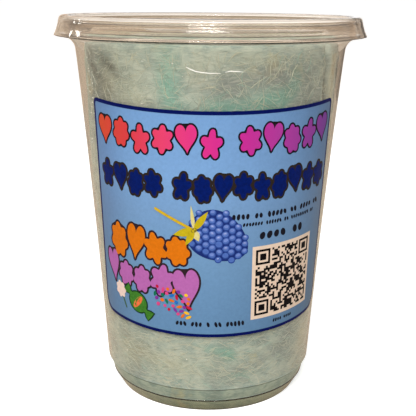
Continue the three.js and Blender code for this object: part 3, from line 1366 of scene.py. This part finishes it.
@dataclass(frozen=True)
class Shape:
    """One flat print shape: a motif, where it is and how large. Places are millimetres."""

    motif: Motif
    x: float
    y: float
    width: float
    height: float
    tilt: float = 0.0

    def outline(self, grow: float = 0.0) -> list[Point]:
        """The shape's edge.

        Args:
            grow: Millimetres that the edge moves out, for the dark line under the shape.

        Returns:
            The outline in metres, anticlockwise.
        """
        raw = [(x * self.width / 2, y * self.height / 2) for x, y in unit_outline(self.motif)]
        if grow:
            raw = self.grown(raw, grow)
        c, s = math.cos(math.radians(self.tilt)), math.sin(math.radians(self.tilt))
        return [((self.x + c * x - s * y) * MM, (self.y + s * x + c * y) * MM) for x, y in raw]

    @staticmethod
    def grown(raw: list[Point], grow: float) -> list[Point]:
        """Move an outline out by an even amount, dropping points that would fold over.

        Args:
            raw: The outline.
            grow: How far.

        Returns:
            The larger outline.
        """
        moved = []
        for before, here, after in zip(raw[-1:] + raw[:-1], raw, raw[1:] + raw[:1]):
            along = Vector((after[0] - before[0], after[1] - before[1]))
            if along.length < 1e-9:
                continue
            along.normalize()
            place = (here[0] + along.y * grow, here[1] - along.x * grow)
            if min(math.dist(place, other) for other in raw) > 0.93 * grow:
                moved.append(place)
        return moved


class InkLayer(Enum):
    """Height of each print layer, in ink thicknesses above the paper."""

    GROUND = 1
    OUTLINE = 2
    FILL = 3
    SHINE = 4
    SPARK = 5
    TOP = 6
    LEAF = 7
    CAP = 8


@dataclass
class Label:
    """Paper label: blue ground in a navy border, with print in plain coloured shapes."""

    roll: Roll
    paper_thickness: float = 0.12 * MM
    ink_thickness: float = 0.03 * MM
    side_border: float = 1.2 * MM
    top_border: float = 1.3 * MM
    corners: tuple[float, float] = (2.2 * MM, 5.5 * MM)
    berry_centre: Point = (1.2, -3.2)
    berry_sides: Point = (12.4, 9.6)
    berry_tilt: float = math.radians(-31)
    berry_taper: float = 0.26
    drupelet: float = 2.7

    def layer(
        self, name: str, outlines: Iterable[list[Point]], material: bpy.types.Material, level: InkLayer
    ) -> None:
        """Print one ink.

        Args:
            name: Name of the piece.
            outlines: Edges of the flat shapes, in metres from the label's middle.
            material: The ink.
            level: Which layer it is.
        """
        art = bmesh.new()
        for outline in outlines:
            add_outline(art, outline)
        self.print_art(name, art, material, level)

    def print_art(
        self, name: str, art: bmesh.types.BMesh, material: bpy.types.Material, level: InkLayer
    ) -> None:
        """Roll flat art onto the paper.

        Args:
            name: Name of the piece.
            art: The flat faces.
            material: The ink.
            level: Which layer it is.
        """
        lift = self.paper_thickness + (level.value - 1) * self.ink_thickness
        self.roll.apply(art, lift, self.ink_thickness)
        declare(finished(name, art, material))

    def build(self) -> None:
        """Make the paper and every layer of print."""
        self.build_paper()
        self.build_top_rows()
        self.build_big_groups()
        self.build_berry()
        self.build_panel()
        self.build_small_print()
        self.build_sweets()

    def build_paper(self) -> None:
        """The navy sheet, whose rim shows as the border, and the blue ground on it."""
        navy = PrintInk("navy_border", srgb(2, 16, 84)).material()
        # Painted light on the ground: lighter toward the top as a painted sheen, darker toward both sides
        # as painted shade.
        painted_rise = (
            (0.0, srgb(90, 129, 167)), (0.12, srgb(94, 133, 172)), (0.34, srgb(103, 142, 181)),
            (0.55, srgb(110, 148, 191)), (0.7, srgb(114, 155, 203)), (1.0, srgb(108, 149, 198)),
        )
        across = (
            (0.0, (0.66, 0.65, 0.68)), (0.06, (0.76, 0.75, 0.78)), (0.14, (0.94,) * 3),
            (0.22, (1.0,) * 3), (0.5, (1.0,) * 3), (0.67, (0.93,) * 3), (0.84, (0.8,) * 3),
            (0.92, (0.66,) * 3), (1.0, (0.5,) * 3),
        )
        blue = ShadedGroundInk("label_blue", painted_rise, across).material()
        paper = bmesh.new()
        add_outline(paper, rounded_box(self.roll.width, self.roll.height, self.corners))
        self.roll.apply(paper, 0.0, self.paper_thickness)
        declare(finished("label_paper", paper, navy), "label")
        width = self.roll.width - 2 * self.side_border
        height = self.roll.height - self.side_border - self.top_border
        inner = (self.corners[0] - self.side_border, self.corners[1] - self.side_border)
        drop = (self.top_border - self.side_border) / 2
        ground = [(x, y - drop) for x, y in rounded_box(width, height, inner)]
        self.layer("label_ground", [ground], blue, InkLayer.GROUND)

    def build_top_rows(self) -> None:
        """Two rows of puffy shapes: a rainbow row, and a navy row under it."""
        rainbow = GradientInk("rainbow_ink", (
            (0.05, srgb(198, 70, 46)), (0.18, srgb(200, 58, 62)), (0.32, srgb(210, 60, 102)),
            (0.44, srgb(204, 48, 126)), (0.56, srgb(186, 38, 136)), (0.74, srgb(160, 56, 146)),
            (0.95, srgb(116, 60, 142)),
        )).material()
        black = PrintInk("black_ink", srgb(26, 22, 28)).material()
        brown = PrintInk("brown_black_ink", srgb(44, 36, 32)).material()
        navy = PrintInk("navy_ink", srgb(2, 26, 100), 0.2).material()
        motifs = (Motif.HEART, Motif.CLOUD, Motif.STAR, Motif.FLOWER, Motif.HEART, Motif.STAR,
                  Motif.FLOWER, Motif.HEART, Motif.CLOUD, Motif.STAR, Motif.HEART)
        first = [(-43.8 + 8.4 * i, 31.0) for i in range(6)] + [(11.4 + 8.2 * i, 31.0) for i in range(5)]
        row = [
            Shape(motif, x, y + 0.7 * math.sin(2.1 * i), 7.2, 10.0, 7 * math.sin(3.3 * i))
            for i, (motif, (x, y)) in enumerate(zip(motifs, first))
        ]
        self.layer("print_row_one_edge", [s.outline(0.65) for s in row], black, InkLayer.OUTLINE)
        self.layer("print_row_one", [s.outline() for s in row], rainbow, InkLayer.FILL)
        motifs = (Motif.STAR, Motif.HEART, Motif.CLOUD, Motif.FLOWER, Motif.STAR, Motif.CLOUD, Motif.HEART,
                  Motif.FLOWER, Motif.STAR, Motif.CLOUD, Motif.HEART, Motif.STAR, Motif.FLOWER)
        second = [(-43.5 + 7.05 * i, 15.0) for i in range(4)]
        second += [(-11.6 + 6.98 * i, 15.0) for i in range(9)]
        row = [
            Shape(motif, x, y + 0.5 * math.sin(1.9 * i + 1), 6.2, 9.2, 8 * math.sin(2.7 * i))
            for i, (motif, (x, y)) in enumerate(zip(motifs, second))
        ]
        self.layer("print_row_two_edge", [s.outline(0.85) for s in row], brown, InkLayer.OUTLINE)
        self.layer("print_row_two", [s.outline() for s in row], navy, InkLayer.FILL)

    def build_big_groups(self) -> None:
        """A group of large orange shapes over a group of large violet ones."""
        orange = PrintInk("orange_ink", srgb(212, 112, 14), 0.08).material()
        violet = PrintInk("violet_ink", srgb(174, 98, 166), 0.06).material()
        black = PrintInk("group_edge_ink", srgb(48, 34, 40)).material()
        upper = [
            Shape(Motif.CLOUD, -38.6, -9.0, 9.0, 13.0, 4), Shape(Motif.HEART, -30.1, -8.2, 8.0, 13.4, -4),
            Shape(Motif.FLOWER, -21.8, -8.8, 8.4, 12.0, 12), Shape(Motif.CLOUD, -13.4, -8.6, 8.8, 10.8, 10),
        ]
        lower = [
            Shape(Motif.HEART, -42.6, -20.6, 6.8, 12.6, 8), Shape(Motif.CLOUD, -35.3, -21.6, 7.6, 9.6),
            Shape(Motif.CLOUD, -27.6, -21.8, 7.6, 10.2), Shape(Motif.FLOWER, -19.2, -20.6, 8.8, 12.2, -8),
            Shape(Motif.HEART, -10.0, -23.2, 9.6, 15.4, 6),
        ]
        both = [shape.outline(0.75) for shape in upper + lower]
        self.layer("print_group_edges", both, black, InkLayer.OUTLINE)
        self.layer("print_orange_group", [s.outline() for s in upper], orange, InkLayer.FILL)
        self.layer("print_violet_group", [s.outline() for s in lower], violet, InkLayer.FILL)

    def build_berry(self) -> None:
        """A blue berry of many round drupelets, with leaves and a stem."""
        centre, (long_side, short_side) = self.berry_centre, self.berry_sides
        c, s = math.cos(self.berry_tilt), math.sin(self.berry_tilt)
        pitch = self.drupelet
        draw = random.Random(SEED + 3)
        inks = {
            "deep": srgb(44, 70, 142), "middle": srgb(76, 106, 178), "light": srgb(112, 134, 200),
            "glint": srgb(158, 168, 218),
        }
        groups: dict[str, list[list[Point]]] = {name: [] for name in inks}
        for row in range(-5, 6):
            for column in range(-6, 7):
                x = (column + 0.5 * (row % 2)) * pitch + draw.gauss(0, 0.12)
                y = row * pitch * 0.84 + draw.gauss(0, 0.12)
                room = (x / (long_side - 0.7)) ** 2
                room += (y / ((short_side - 0.7) * (1 - self.berry_taper * x / long_side))) ** 2
                if room > 1.0:
                    continue
                px, py = centre[0] + c * x - s * y, centre[1] + s * x + c * y
                bright = (py - centre[1]) / short_side + 0.25 * (px - centre[0]) / long_side
                bright += draw.gauss(0, 0.25)
                size = pitch * draw.uniform(1.0, 1.1) * (1 - 0.14 * room)
                turn = draw.uniform(-25, 25)
                groups["deep"].append(Shape(Motif.PEBBLE, px, py, size, size * 0.96, turn).outline())
                lit = Shape(Motif.PEBBLE, px - 0.05, py + 0.16, size * 0.8, size * 0.72, turn)
                groups["middle"].append(lit.outline())
                if bright > -0.5:
                    crown = Shape(Motif.PEBBLE, px - 0.1, py + 0.36, size * 0.56, size * 0.4, turn)
                    groups["light"].append(crown.outline()[::2])
                if draw.random() < 0.4 + 0.4 * bright:
                    spark = Shape(Motif.PEBBLE, px - 0.15, py + 0.5, size * 0.3, size * 0.16, turn)
                    groups["glint"].append(spark.outline()[::3])
        base = PrintInk("berry_base_ink", srgb(28, 46, 112)).material()
        self.layer("print_berry_base", [self.berry_edge(0.9)], base, InkLayer.OUTLINE)
        layers = (InkLayer.FILL, InkLayer.SHINE, InkLayer.SPARK, InkLayer.TOP)
        for (name, outlines), layer in zip(groups.items(), layers):
            ink = PrintInk(f"berry_{name}_ink", inks[name], 0.1).material()
            self.layer(f"print_berry_{name}", outlines, ink, layer)
        self.build_leaves()

    def berry_edge(self, inset: float) -> list[Point]:
        """The berry's egg-shaped edge.

        Args:
            inset: How far inside the true edge, in millimetres.

        Returns:
            The outline in metres.
        """
        (left, low), (long_side, short_side) = self.berry_centre, self.berry_sides
        c, s = math.cos(self.berry_tilt), math.sin(self.berry_tilt)
        points = []
        for i in range(64):
            a = math.tau * i / 64
            x = (long_side - inset) * math.cos(a)
            y = (short_side - inset) * math.sin(a) * (1 - self.berry_taper * math.cos(a))
            points.append(((left + c * x - s * y) * MM, (low + s * x + c * y) * MM))
        return points

    def build_leaves(self) -> None:
        """The berry's leaves and stem."""
        bright = PrintInk("leaf_ink", srgb(190, 168, 26), 0.1).material()
        pale = PrintInk("pale_leaf_ink", srgb(214, 202, 132), 0.1).material()
        dark = PrintInk("leaf_heart_ink", srgb(126, 112, 44), 0.2).material()
        stem = PrintInk("stem_ink", srgb(204, 168, 34), 0.1).material()
        heart = (-7.5, -0.4)
        tips = [(-2.7, 6.6, 2.5, True), (-14.8, -2.6, 3.0, True), (-10.4, -6.2, 2.4, True),
                (-8.6, 8.6, 1.3, False), (-5.8, -4.4, 2.6, False)]
        front = [self.leaf(heart, *tip) for *tip, is_bright in tips if is_bright]
        back = [self.leaf(heart, *tip) for *tip, is_bright in tips if not is_bright]
        self.layer("print_leaves_pale", back, pale, InkLayer.LEAF)
        self.layer("print_leaves", front, bright, InkLayer.CAP)
        self.layer("print_stem", [self.bar((-21.4, 6.2), heart, 1.0)], stem, InkLayer.LEAF)
        middle = Shape(Motif.PEBBLE, *heart, 2.2, 1.7, 30)
        self.layer("print_leaf_heart", [middle.outline()], dark, InkLayer.CAP)

    @staticmethod
    def leaf(start: Point, x: float, y: float, width: float) -> list[Point]:
        """A pointed leaf.

        Args:
            start: Foot of the leaf, in millimetres.
            x: Tip's place across.
            y: Tip's place up.
            width: Widest part.

        Returns:
            The outline in metres.
        """
        along = Vector((x - start[0], y - start[1]))
        side = Vector((-along.y, along.x)).normalized() * width / 2
        steps = [i / 10 for i in range(11)]
        right = [Vector(start) + along * t - side * math.sin(math.pi * t ** 0.8) for t in steps[:-1]]
        left = [Vector(start) + along * t + side * math.sin(math.pi * t ** 0.8) for t in steps[:0:-1]]
        return [(p.x * MM, p.y * MM) for p in right + left]

    @staticmethod
    def bar(start: Point, end: Point, width: float) -> list[Point]:
        """A straight bar with round ends.

        Args:
            start: One end, in millimetres.
            end: The other end.
            width: Width of the bar.

        Returns:
            The outline in metres.
        """
        angle = math.degrees(math.atan2(end[1] - start[1], end[0] - start[0]))
        far = arc(end, width / 2, angle - 90, angle + 90, 5)
        near = arc(start, width / 2, angle + 90, angle + 270, 5)
        return [(x * MM, y * MM) for x, y in far + near]

    def build_panel(self) -> None:
        """A cream square filled with a chance pattern of small dark squares, three of them framed."""
        cream = PrintInk("cream_ink", srgb(222, 198, 178), 0.04).material()
        black = PrintInk("pattern_ink", srgb(16, 13, 16)).material()
        side, cells, middle = 28.2, 31, Vector((27.5, -21.5))
        square = rounded_box(side * MM, side * MM, (0.05 * MM, 0.05 * MM), 1)
        shift = middle * MM
        outline = [(x + shift.x, y + shift.y) for x, y in square]
        self.layer("print_panel", [outline], cream, InkLayer.OUTLINE)
        draw = random.Random(SEED + 4)
        art = bmesh.new()
        half = (side / 2 - 1.35) * MM
        bmesh.ops.create_grid(
            art, x_segments=cells, y_segments=cells, size=half,
            matrix=Matrix.Translation((shift.x, shift.y, 0)),
        )
        pitch = 2 * half / cells
        empty = []
        for face in art.faces:
            place = face.calc_center_median()
            column = int((place.x - shift.x + half) / pitch)
            row = int((shift.y + half - place.y) / pitch)
            if not self.is_dark(column, row, cells, draw):
                empty.append(face)
        bmesh.ops.delete(art, geom=empty, context="FACES")
        self.print_art("print_panel_squares", art, black, InkLayer.FILL)

    @staticmethod
    def is_dark(column: int, row: int, cells: int, draw: random.Random) -> bool:
        """Whether a cell of the pattern is dark.

        Args:
            column: Cell's column.
            row: Cell's row, from the top.
            cells: Cells on a side.
            draw: Source of chance.

        Returns:
            True for a dark cell.
        """
        chance = draw.random() < DARK_SHARE
        for left, top in ((0, 0), (cells - 7, 0), (0, cells - 7)):
            x, y = column - left, row - top
            if -1 <= x <= 7 and -1 <= y <= 7:
                ring = max(abs(x - 3), abs(y - 3))
                return ring in (0, 1, 3)
        return chance

    def build_small_print(self) -> None:
        """Rows of small dark beads in the places of the small print."""
        black = PrintInk("bead_ink", srgb(24, 24, 34)).material()
        draw = random.Random(SEED + 5)
        beads = []
        rows = [
            (5.4, 4.2, 1.66, 2.5, (4, 2, 5, 2, 4, 2)), (9.4, 1.2, 1.1, 1.75, (7, 6, 2, 9, 2)),
            (15.6, -3.5, 2.9, 3.5, (4, 2)), (-14.1, -36.3, 1.4, 2.4, (3, 3, 1, 2, 5)),
            (22.7, -37.8, 1.05, 1.6, (4, 4)),
        ]
        for left, level, pitch, tall, groups in rows:
            x = left
            for group in groups:
                for _ in range(group):
                    up = tall * draw.uniform(0.72, 0.95)
                    lean = draw.uniform(-22, 22)
                    bead = Shape(Motif.PEBBLE, x + pitch / 2, level, pitch * 0.74, up, lean)
                    beads.append(bead.outline()[::3])
                    x += pitch
                x += pitch
        self.layer("print_beads", beads, black, InkLayer.OUTLINE)

    def build_sweets(self) -> None:
        """A wrapped sweet, a puff of floss on a stick and a scatter of tiny sweets."""
        inks = {
            "red": srgb(190, 30, 60), "yellow": srgb(236, 180, 40), "blue": srgb(40, 110, 190),
            "green": srgb(24, 112, 84), "purple": srgb(130, 50, 150), "orange": srgb(224, 110, 30),
            "pink": srgb(214, 70, 130),
        }
        dark = PrintInk("sweet_edge_ink", srgb(22, 50, 30)).material()
        green = PrintInk("wrapper_ink", srgb(66, 128, 44), 0.2).material()
        band = PrintInk("wrapper_band_ink", srgb(232, 112, 66), 0.1).material()
        puff = PrintInk("floss_puff_ink", srgb(232, 204, 192), 0.06).material()
        stick = PrintInk("stick_ink", srgb(70, 100, 70), 0.1).material()
        wrapper = Shape(Motif.TWIST, -29.6, -31.6, 7.4, 15.0, 52)
        self.layer("print_wrapper_edge", [wrapper.outline(0.5)], dark, InkLayer.SHINE)
        self.layer("print_wrapper", [wrapper.outline()], green, InkLayer.TOP)
        stripe = Shape(Motif.PEBBLE, -29.6, -31.6, 6.2, 2.4, 52)
        self.layer("print_wrapper_band", [stripe.outline()], band, InkLayer.TOP)
        rod = self.bar((-37.8, -31.0), (-35.6, -35.6), 0.7)
        self.layer("print_puff_stick", [rod], stick, InkLayer.SHINE)
        cloud = Shape(Motif.CLOUD, -38.6, -29.0, 5.6, 6.6, 15)
        self.layer("print_floss_puff", [cloud.outline()], puff, InkLayer.TOP)
        draw = random.Random(SEED + 6)
        piles: dict[str, list[list[Point]]] = {name: [] for name in inks}
        taken: list[Point] = []
        while len(taken) < 34:
            x, y = draw.uniform(-22.0, -9.0), draw.uniform(-34.0, -23.0)
            lean = (x + 22.0) / 13
            near = any(math.dist((x, y), other) < 1.7 for other in taken)
            if near or abs(y + 25.8 + 4.0 * lean) > 4.4:
                continue
            taken.append((x, y))
            name = draw.choice(sorted(inks))
            long_one = draw.random() < 0.4
            width = draw.uniform(1.9, 2.4) if long_one else draw.uniform(1.2, 1.6)
            height = 1.05 if long_one else width * 0.9
            sweet = Shape(Motif.PEBBLE, x, y, width, height, draw.uniform(0, 180))
            piles[name].append(sweet.outline()[::2])
        for name, outlines in piles.items():
            ink = PrintInk(f"tiny_{name}_ink", inks[name], 0.1).material()
            if outlines:
                self.layer(f"print_tiny_{name}", outlines, ink, InkLayer.TOP)


# ------------------------------------------------------------------ studio


@dataclass
class Studio:
    """Pale floor, soft lights and the camera."""

    distance: float = 317.2 * MM
    height: float = 151.1 * MM
    pitch: float = math.radians(14.42)
    roll: float = math.radians(0.44)
    yaw: float = math.radians(0.067)
    focal: float = 71.1
    floor_glow: float = 0.45
    floor_bounce: Color = (0.55, 0.54, 0.51)
    floor_warmth: Color = (0.57, 0.47, 0.36)
    dome: float = 0.55
    light_distance: float = 1.2
    card_distance: float = 0.8
    soft: Color = (1.0, 0.98, 0.96)
    lamps: tuple[tuple[float, float, float], ...] = (
        (-110, 24, 0.6), (-113, 17, -0.5), (-117, 21, 0.1), (-121, 15, 1.2), (-119, 27, 0.4),
    )

    def build_camera(self) -> None:
        """Stand the camera in front of the label, looking a little down."""
        data = bpy.data.cameras.new("camera")
        data.lens = self.focal
        data.sensor_width = 36.0
        data.clip_start = 0.01
        camera = bpy.data.objects.new("camera", data)
        bpy.context.scene.collection.objects.link(camera)
        turn = Matrix.Rotation(self.yaw, 4, "Z") @ Matrix.Rotation(math.pi / 2 - self.pitch, 4, "X")
        turn = turn @ Matrix.Rotation(self.roll, 4, "Z")
        camera.matrix_world = Matrix.Translation((0.0, -self.distance, self.height)) @ turn
        bpy.context.scene.camera = camera

    def build_floor(self) -> None:
        """A wide pale floor, white to look at and warm where plastic mirrors or bends it."""
        floor = bmesh.new()
        bmesh.ops.create_grid(floor, x_segments=1, y_segments=1, size=60.0)
        sheet = NodeSheet("floor")
        path = sheet.add("LightPath").outputs
        bent = sheet.calc("MAXIMUM", path["Is Glossy Ray"], path["Is Transmission Ray"])
        pale = sheet.add("BsdfPrincipled", {
            "Base Color": (0.9, 0.9, 0.9), "Roughness": 0.9,
            "Emission Color": (1.0, 1.0, 1.0), "Emission Strength": self.floor_glow,
        })
        dull = sheet.add("BsdfPrincipled", {"Base Color": self.floor_bounce, "Roughness": 0.9})
        warm = sheet.add("BsdfPrincipled", {
            "Base Color": self.floor_warmth, "Roughness": 0.9,
            "Emission Color": self.floor_warmth, "Emission Strength": 0.02,
        })
        seen = sheet.add("MixShader", {
            0: path["Is Camera Ray"], 1: dull.outputs[0], 2: pale.outputs[0],
        })
        either = sheet.add("MixShader", {0: bent, 1: seen.outputs[0], 2: warm.outputs[0]})
        finished("floor", floor, sheet.show(either.outputs[0]))

    def build_light(
        self, name: str, place: Vector, size: Point, power: float, color: Color, spin: float = 0.0,
        glossy: bool = True,
    ) -> None:
        """Add a soft rectangular light aimed at the upper part of the tub.

        Args:
            name: Name of the light.
            place: Where it hangs.
            size: Width and height.
            power: Watts.
            color: Light colour.
            spin: Turn about its own beam.
            glossy: Whether it shows in what shines and through what is clear.
        """
        data = bpy.data.lights.new(name, "AREA")
        data.shape = "RECTANGLE"
        data.size, data.size_y = size
        data.energy = power
        data.color = color
        light = bpy.data.objects.new(name, data)
        light.visible_glossy = glossy
        light.visible_transmission = glossy
        bpy.context.scene.collection.objects.link(light)
        aim = Vector((0, 0, 0.6 * LID_HIGH.z)) - place
        turn = aim.to_track_quat("-Z", "Y").to_matrix().to_4x4() @ Matrix.Rotation(spin, 4, "Z")
        light.matrix_world = Matrix.Translation(place) @ turn

    @staticmethod
    def around(azimuth: float, elevation: float, distance: float) -> Vector:
        """A place round the tub.

        Args:
            azimuth: Degrees to the right of the front.
            elevation: Degrees above the lid.
            distance: Distance from the tub.

        Returns:
            The place.
        """
        side, up = math.radians(azimuth), math.radians(elevation)
        flat = distance * math.cos(up)
        return Vector((flat * math.sin(side), -flat * math.cos(side), LID_HIGH.z + distance * math.sin(up)))

    def build_window(self) -> None:
        """A slatted window in front, seen as fine bright strokes on the lid."""
        for elevation, tall, lean in ((29, 0.15, -0.55), (43, 0.10, -0.1)):
            for number in range(11):
                azimuth = -20 + 34 * number / 10
                place = self.around(azimuth, elevation, self.light_distance)
                name = f"slat_{elevation}_{number}"
                power = 0.34 * math.sin(math.pi * (number + 0.6) / 11.2) ** 1.5
                self.build_light(name, place, (0.03, tall), power, (1.0, 0.98, 0.95), lean)

    def build_card(self, name: str, start: float, end: float, color: Color, glow: float) -> None:
        """Stand a card behind the tub that shows only in what shines.

        Args:
            name: Name of the card.
            start: Azimuth of one side, in degrees to the right of the front.
            end: Azimuth of the other side.
            color: Its colour.
            glow: Strength of its own light.
        """
        card = bmesh.new()
        near, far = (self.around(side, 0, self.card_distance) for side in (start, end))
        corners = [(near.x, near.y, -0.6), (far.x, far.y, -0.6), (far.x, far.y, 1.2), (near.x, near.y, 1.2)]
        card.faces.new([card.verts.new(corner) for corner in corners])
        sheet = NodeSheet(name)
        matt = sheet.add("BsdfPrincipled", {
            "Base Color": color, "Roughness": 0.9, "Emission Color": color, "Emission Strength": glow,
        })
        piece = finished(name, card, sheet.show(matt.outputs[0]))
        piece.visible_camera = False
        piece.visible_diffuse = False
        piece.visible_transmission = False
        piece.visible_shadow = False

    def build_world(self) -> None:
        """Soft surroundings: white to look at and to light with, a warm room in what shines."""
        world = bpy.data.worlds.new("studio")
        world.use_nodes = True
        sheet = NodeSheet.of_tree(world.node_tree)
        path = sheet.add("LightPath").outputs
        way = sheet.add("TexCoord").outputs["Generated"]
        toward = sheet.add("SeparateXYZ", {"Vector": way}).outputs
        room = sheet.ramp(toward["Z"], [
            (0.0, (0.62, 0.53, 0.44)), (0.16, (0.66, 0.55, 0.45)),
            (0.5, (0.8, 0.71, 0.62)), (0.9, (1.0, 0.97, 0.93)),
        ])
        patches = sheet.noise(way, 2.6)
        strength = sheet.add("MapRange", {
            "Value": patches, "From Min": 0.3, "From Max": 0.7, "To Min": 0.6, "To Max": 1.7,
        })
        behind = sheet.add("MapRange", {"Value": toward["Y"], "From Min": 0.9, "From Max": 0.99})
        glow = sheet.mix(behind.outputs[0], room, (1.0, 1.0, 1.0))
        mirrored_room = sheet.add("Background", {"Color": glow, "Strength": strength.outputs[0]})
        dome = sheet.add("Background", {"Color": (1.0, 1.0, 1.0), "Strength": self.dome})
        white = sheet.add("Background", {"Color": (0.94, 0.94, 0.94), "Strength": 1.0})
        lit = sheet.add("MixShader", {
            0: path["Is Diffuse Ray"], 1: mirrored_room.outputs[0], 2: dome.outputs[0],
        })
        pick = sheet.add("MixShader", {
            0: path["Is Camera Ray"], 1: lit.outputs[0], 2: white.outputs[0],
        })
        sheet.add("OutputWorld", {"Surface": pick.outputs[0]})
        bpy.context.scene.world = world

    def build(self) -> None:
        """Set the whole studio up."""
        bpy.context.scene.view_settings.view_transform = "Standard"
        self.build_camera()
        self.build_floor()
        self.build_world()
        self.build_window()
        for number, (azimuth, elevation, spin) in enumerate(self.lamps):
            place = self.around(azimuth, elevation, self.light_distance)
            self.build_light(f"lamp_{number}", place, (0.03, 0.07), 0.07, self.soft, spin)
        self.build_card("dark_card", 134, 158, (0.10, 0.08, 0.07), 0.03)
        self.build_card("amber_card", 120, 130, (0.60, 0.40, 0.26), 0.15)
        self.build_card("tan_card", -172, -124, (0.55, 0.42, 0.31), 0.30)
        place = self.around(-14, 48, self.light_distance)
        self.build_light("key", place, (0.7, 0.7), 12.0, self.soft, glossy=False)


# ------------------------------------------------------------------ assembly


# The tub's tint by height at its foot, in millimetres: the lowest ring is darker as painted shade where it
# faces down, both creases carry dark painted shade, a painted highlight runs just above the lower crease,
# and the band between the creases is darker than the wall.
CLEAR_TINT, FOOT_TINT, RING_SHADE_TINT = (0.96, 0.935, 0.90), (0.70, 0.70, 0.57), (0.67, 0.67, 0.52)
CREASE_SHADE, CREASE_GLINT = (0.16, 0.16, 0.12), (1.0, 0.98, 0.92)
LID_TINT = (0.955, 0.915, 0.865)
LID_RIPPLE = 0.09 * MM
FOOT_PAINTED_BANDS = (
    (0.0, RING_SHADE_TINT), (4.7, RING_SHADE_TINT), (4.9, CREASE_SHADE), (5.3, CREASE_SHADE), (5.5, CREASE_GLINT),
    (6.0, FOOT_TINT), (10.0, FOOT_TINT), (10.2, CREASE_SHADE), (10.5, CREASE_SHADE), (10.75, CLEAR_TINT),
)


def main() -> None:
    """Build every piece in order, then the studio."""
    logging.basicConfig(level=logging.INFO, format="%(message)s")
    wall = TallWall()
    parts = (
        Tub(wall, ClearPlastic("clear_tub", CLEAR_TINT, FOOT_PAINTED_BANDS)),
        Lid(ClearPlastic("clear_lid", LID_TINT, ripple=LID_RIPPLE)),
        Floss(wall),
        Label(Roll(wall)),
    )
    for part in parts:
        part.build()
        LOG.info("%s is built", type(part).__name__)
    Studio().build()


if __name__ == "__main__":
    main()
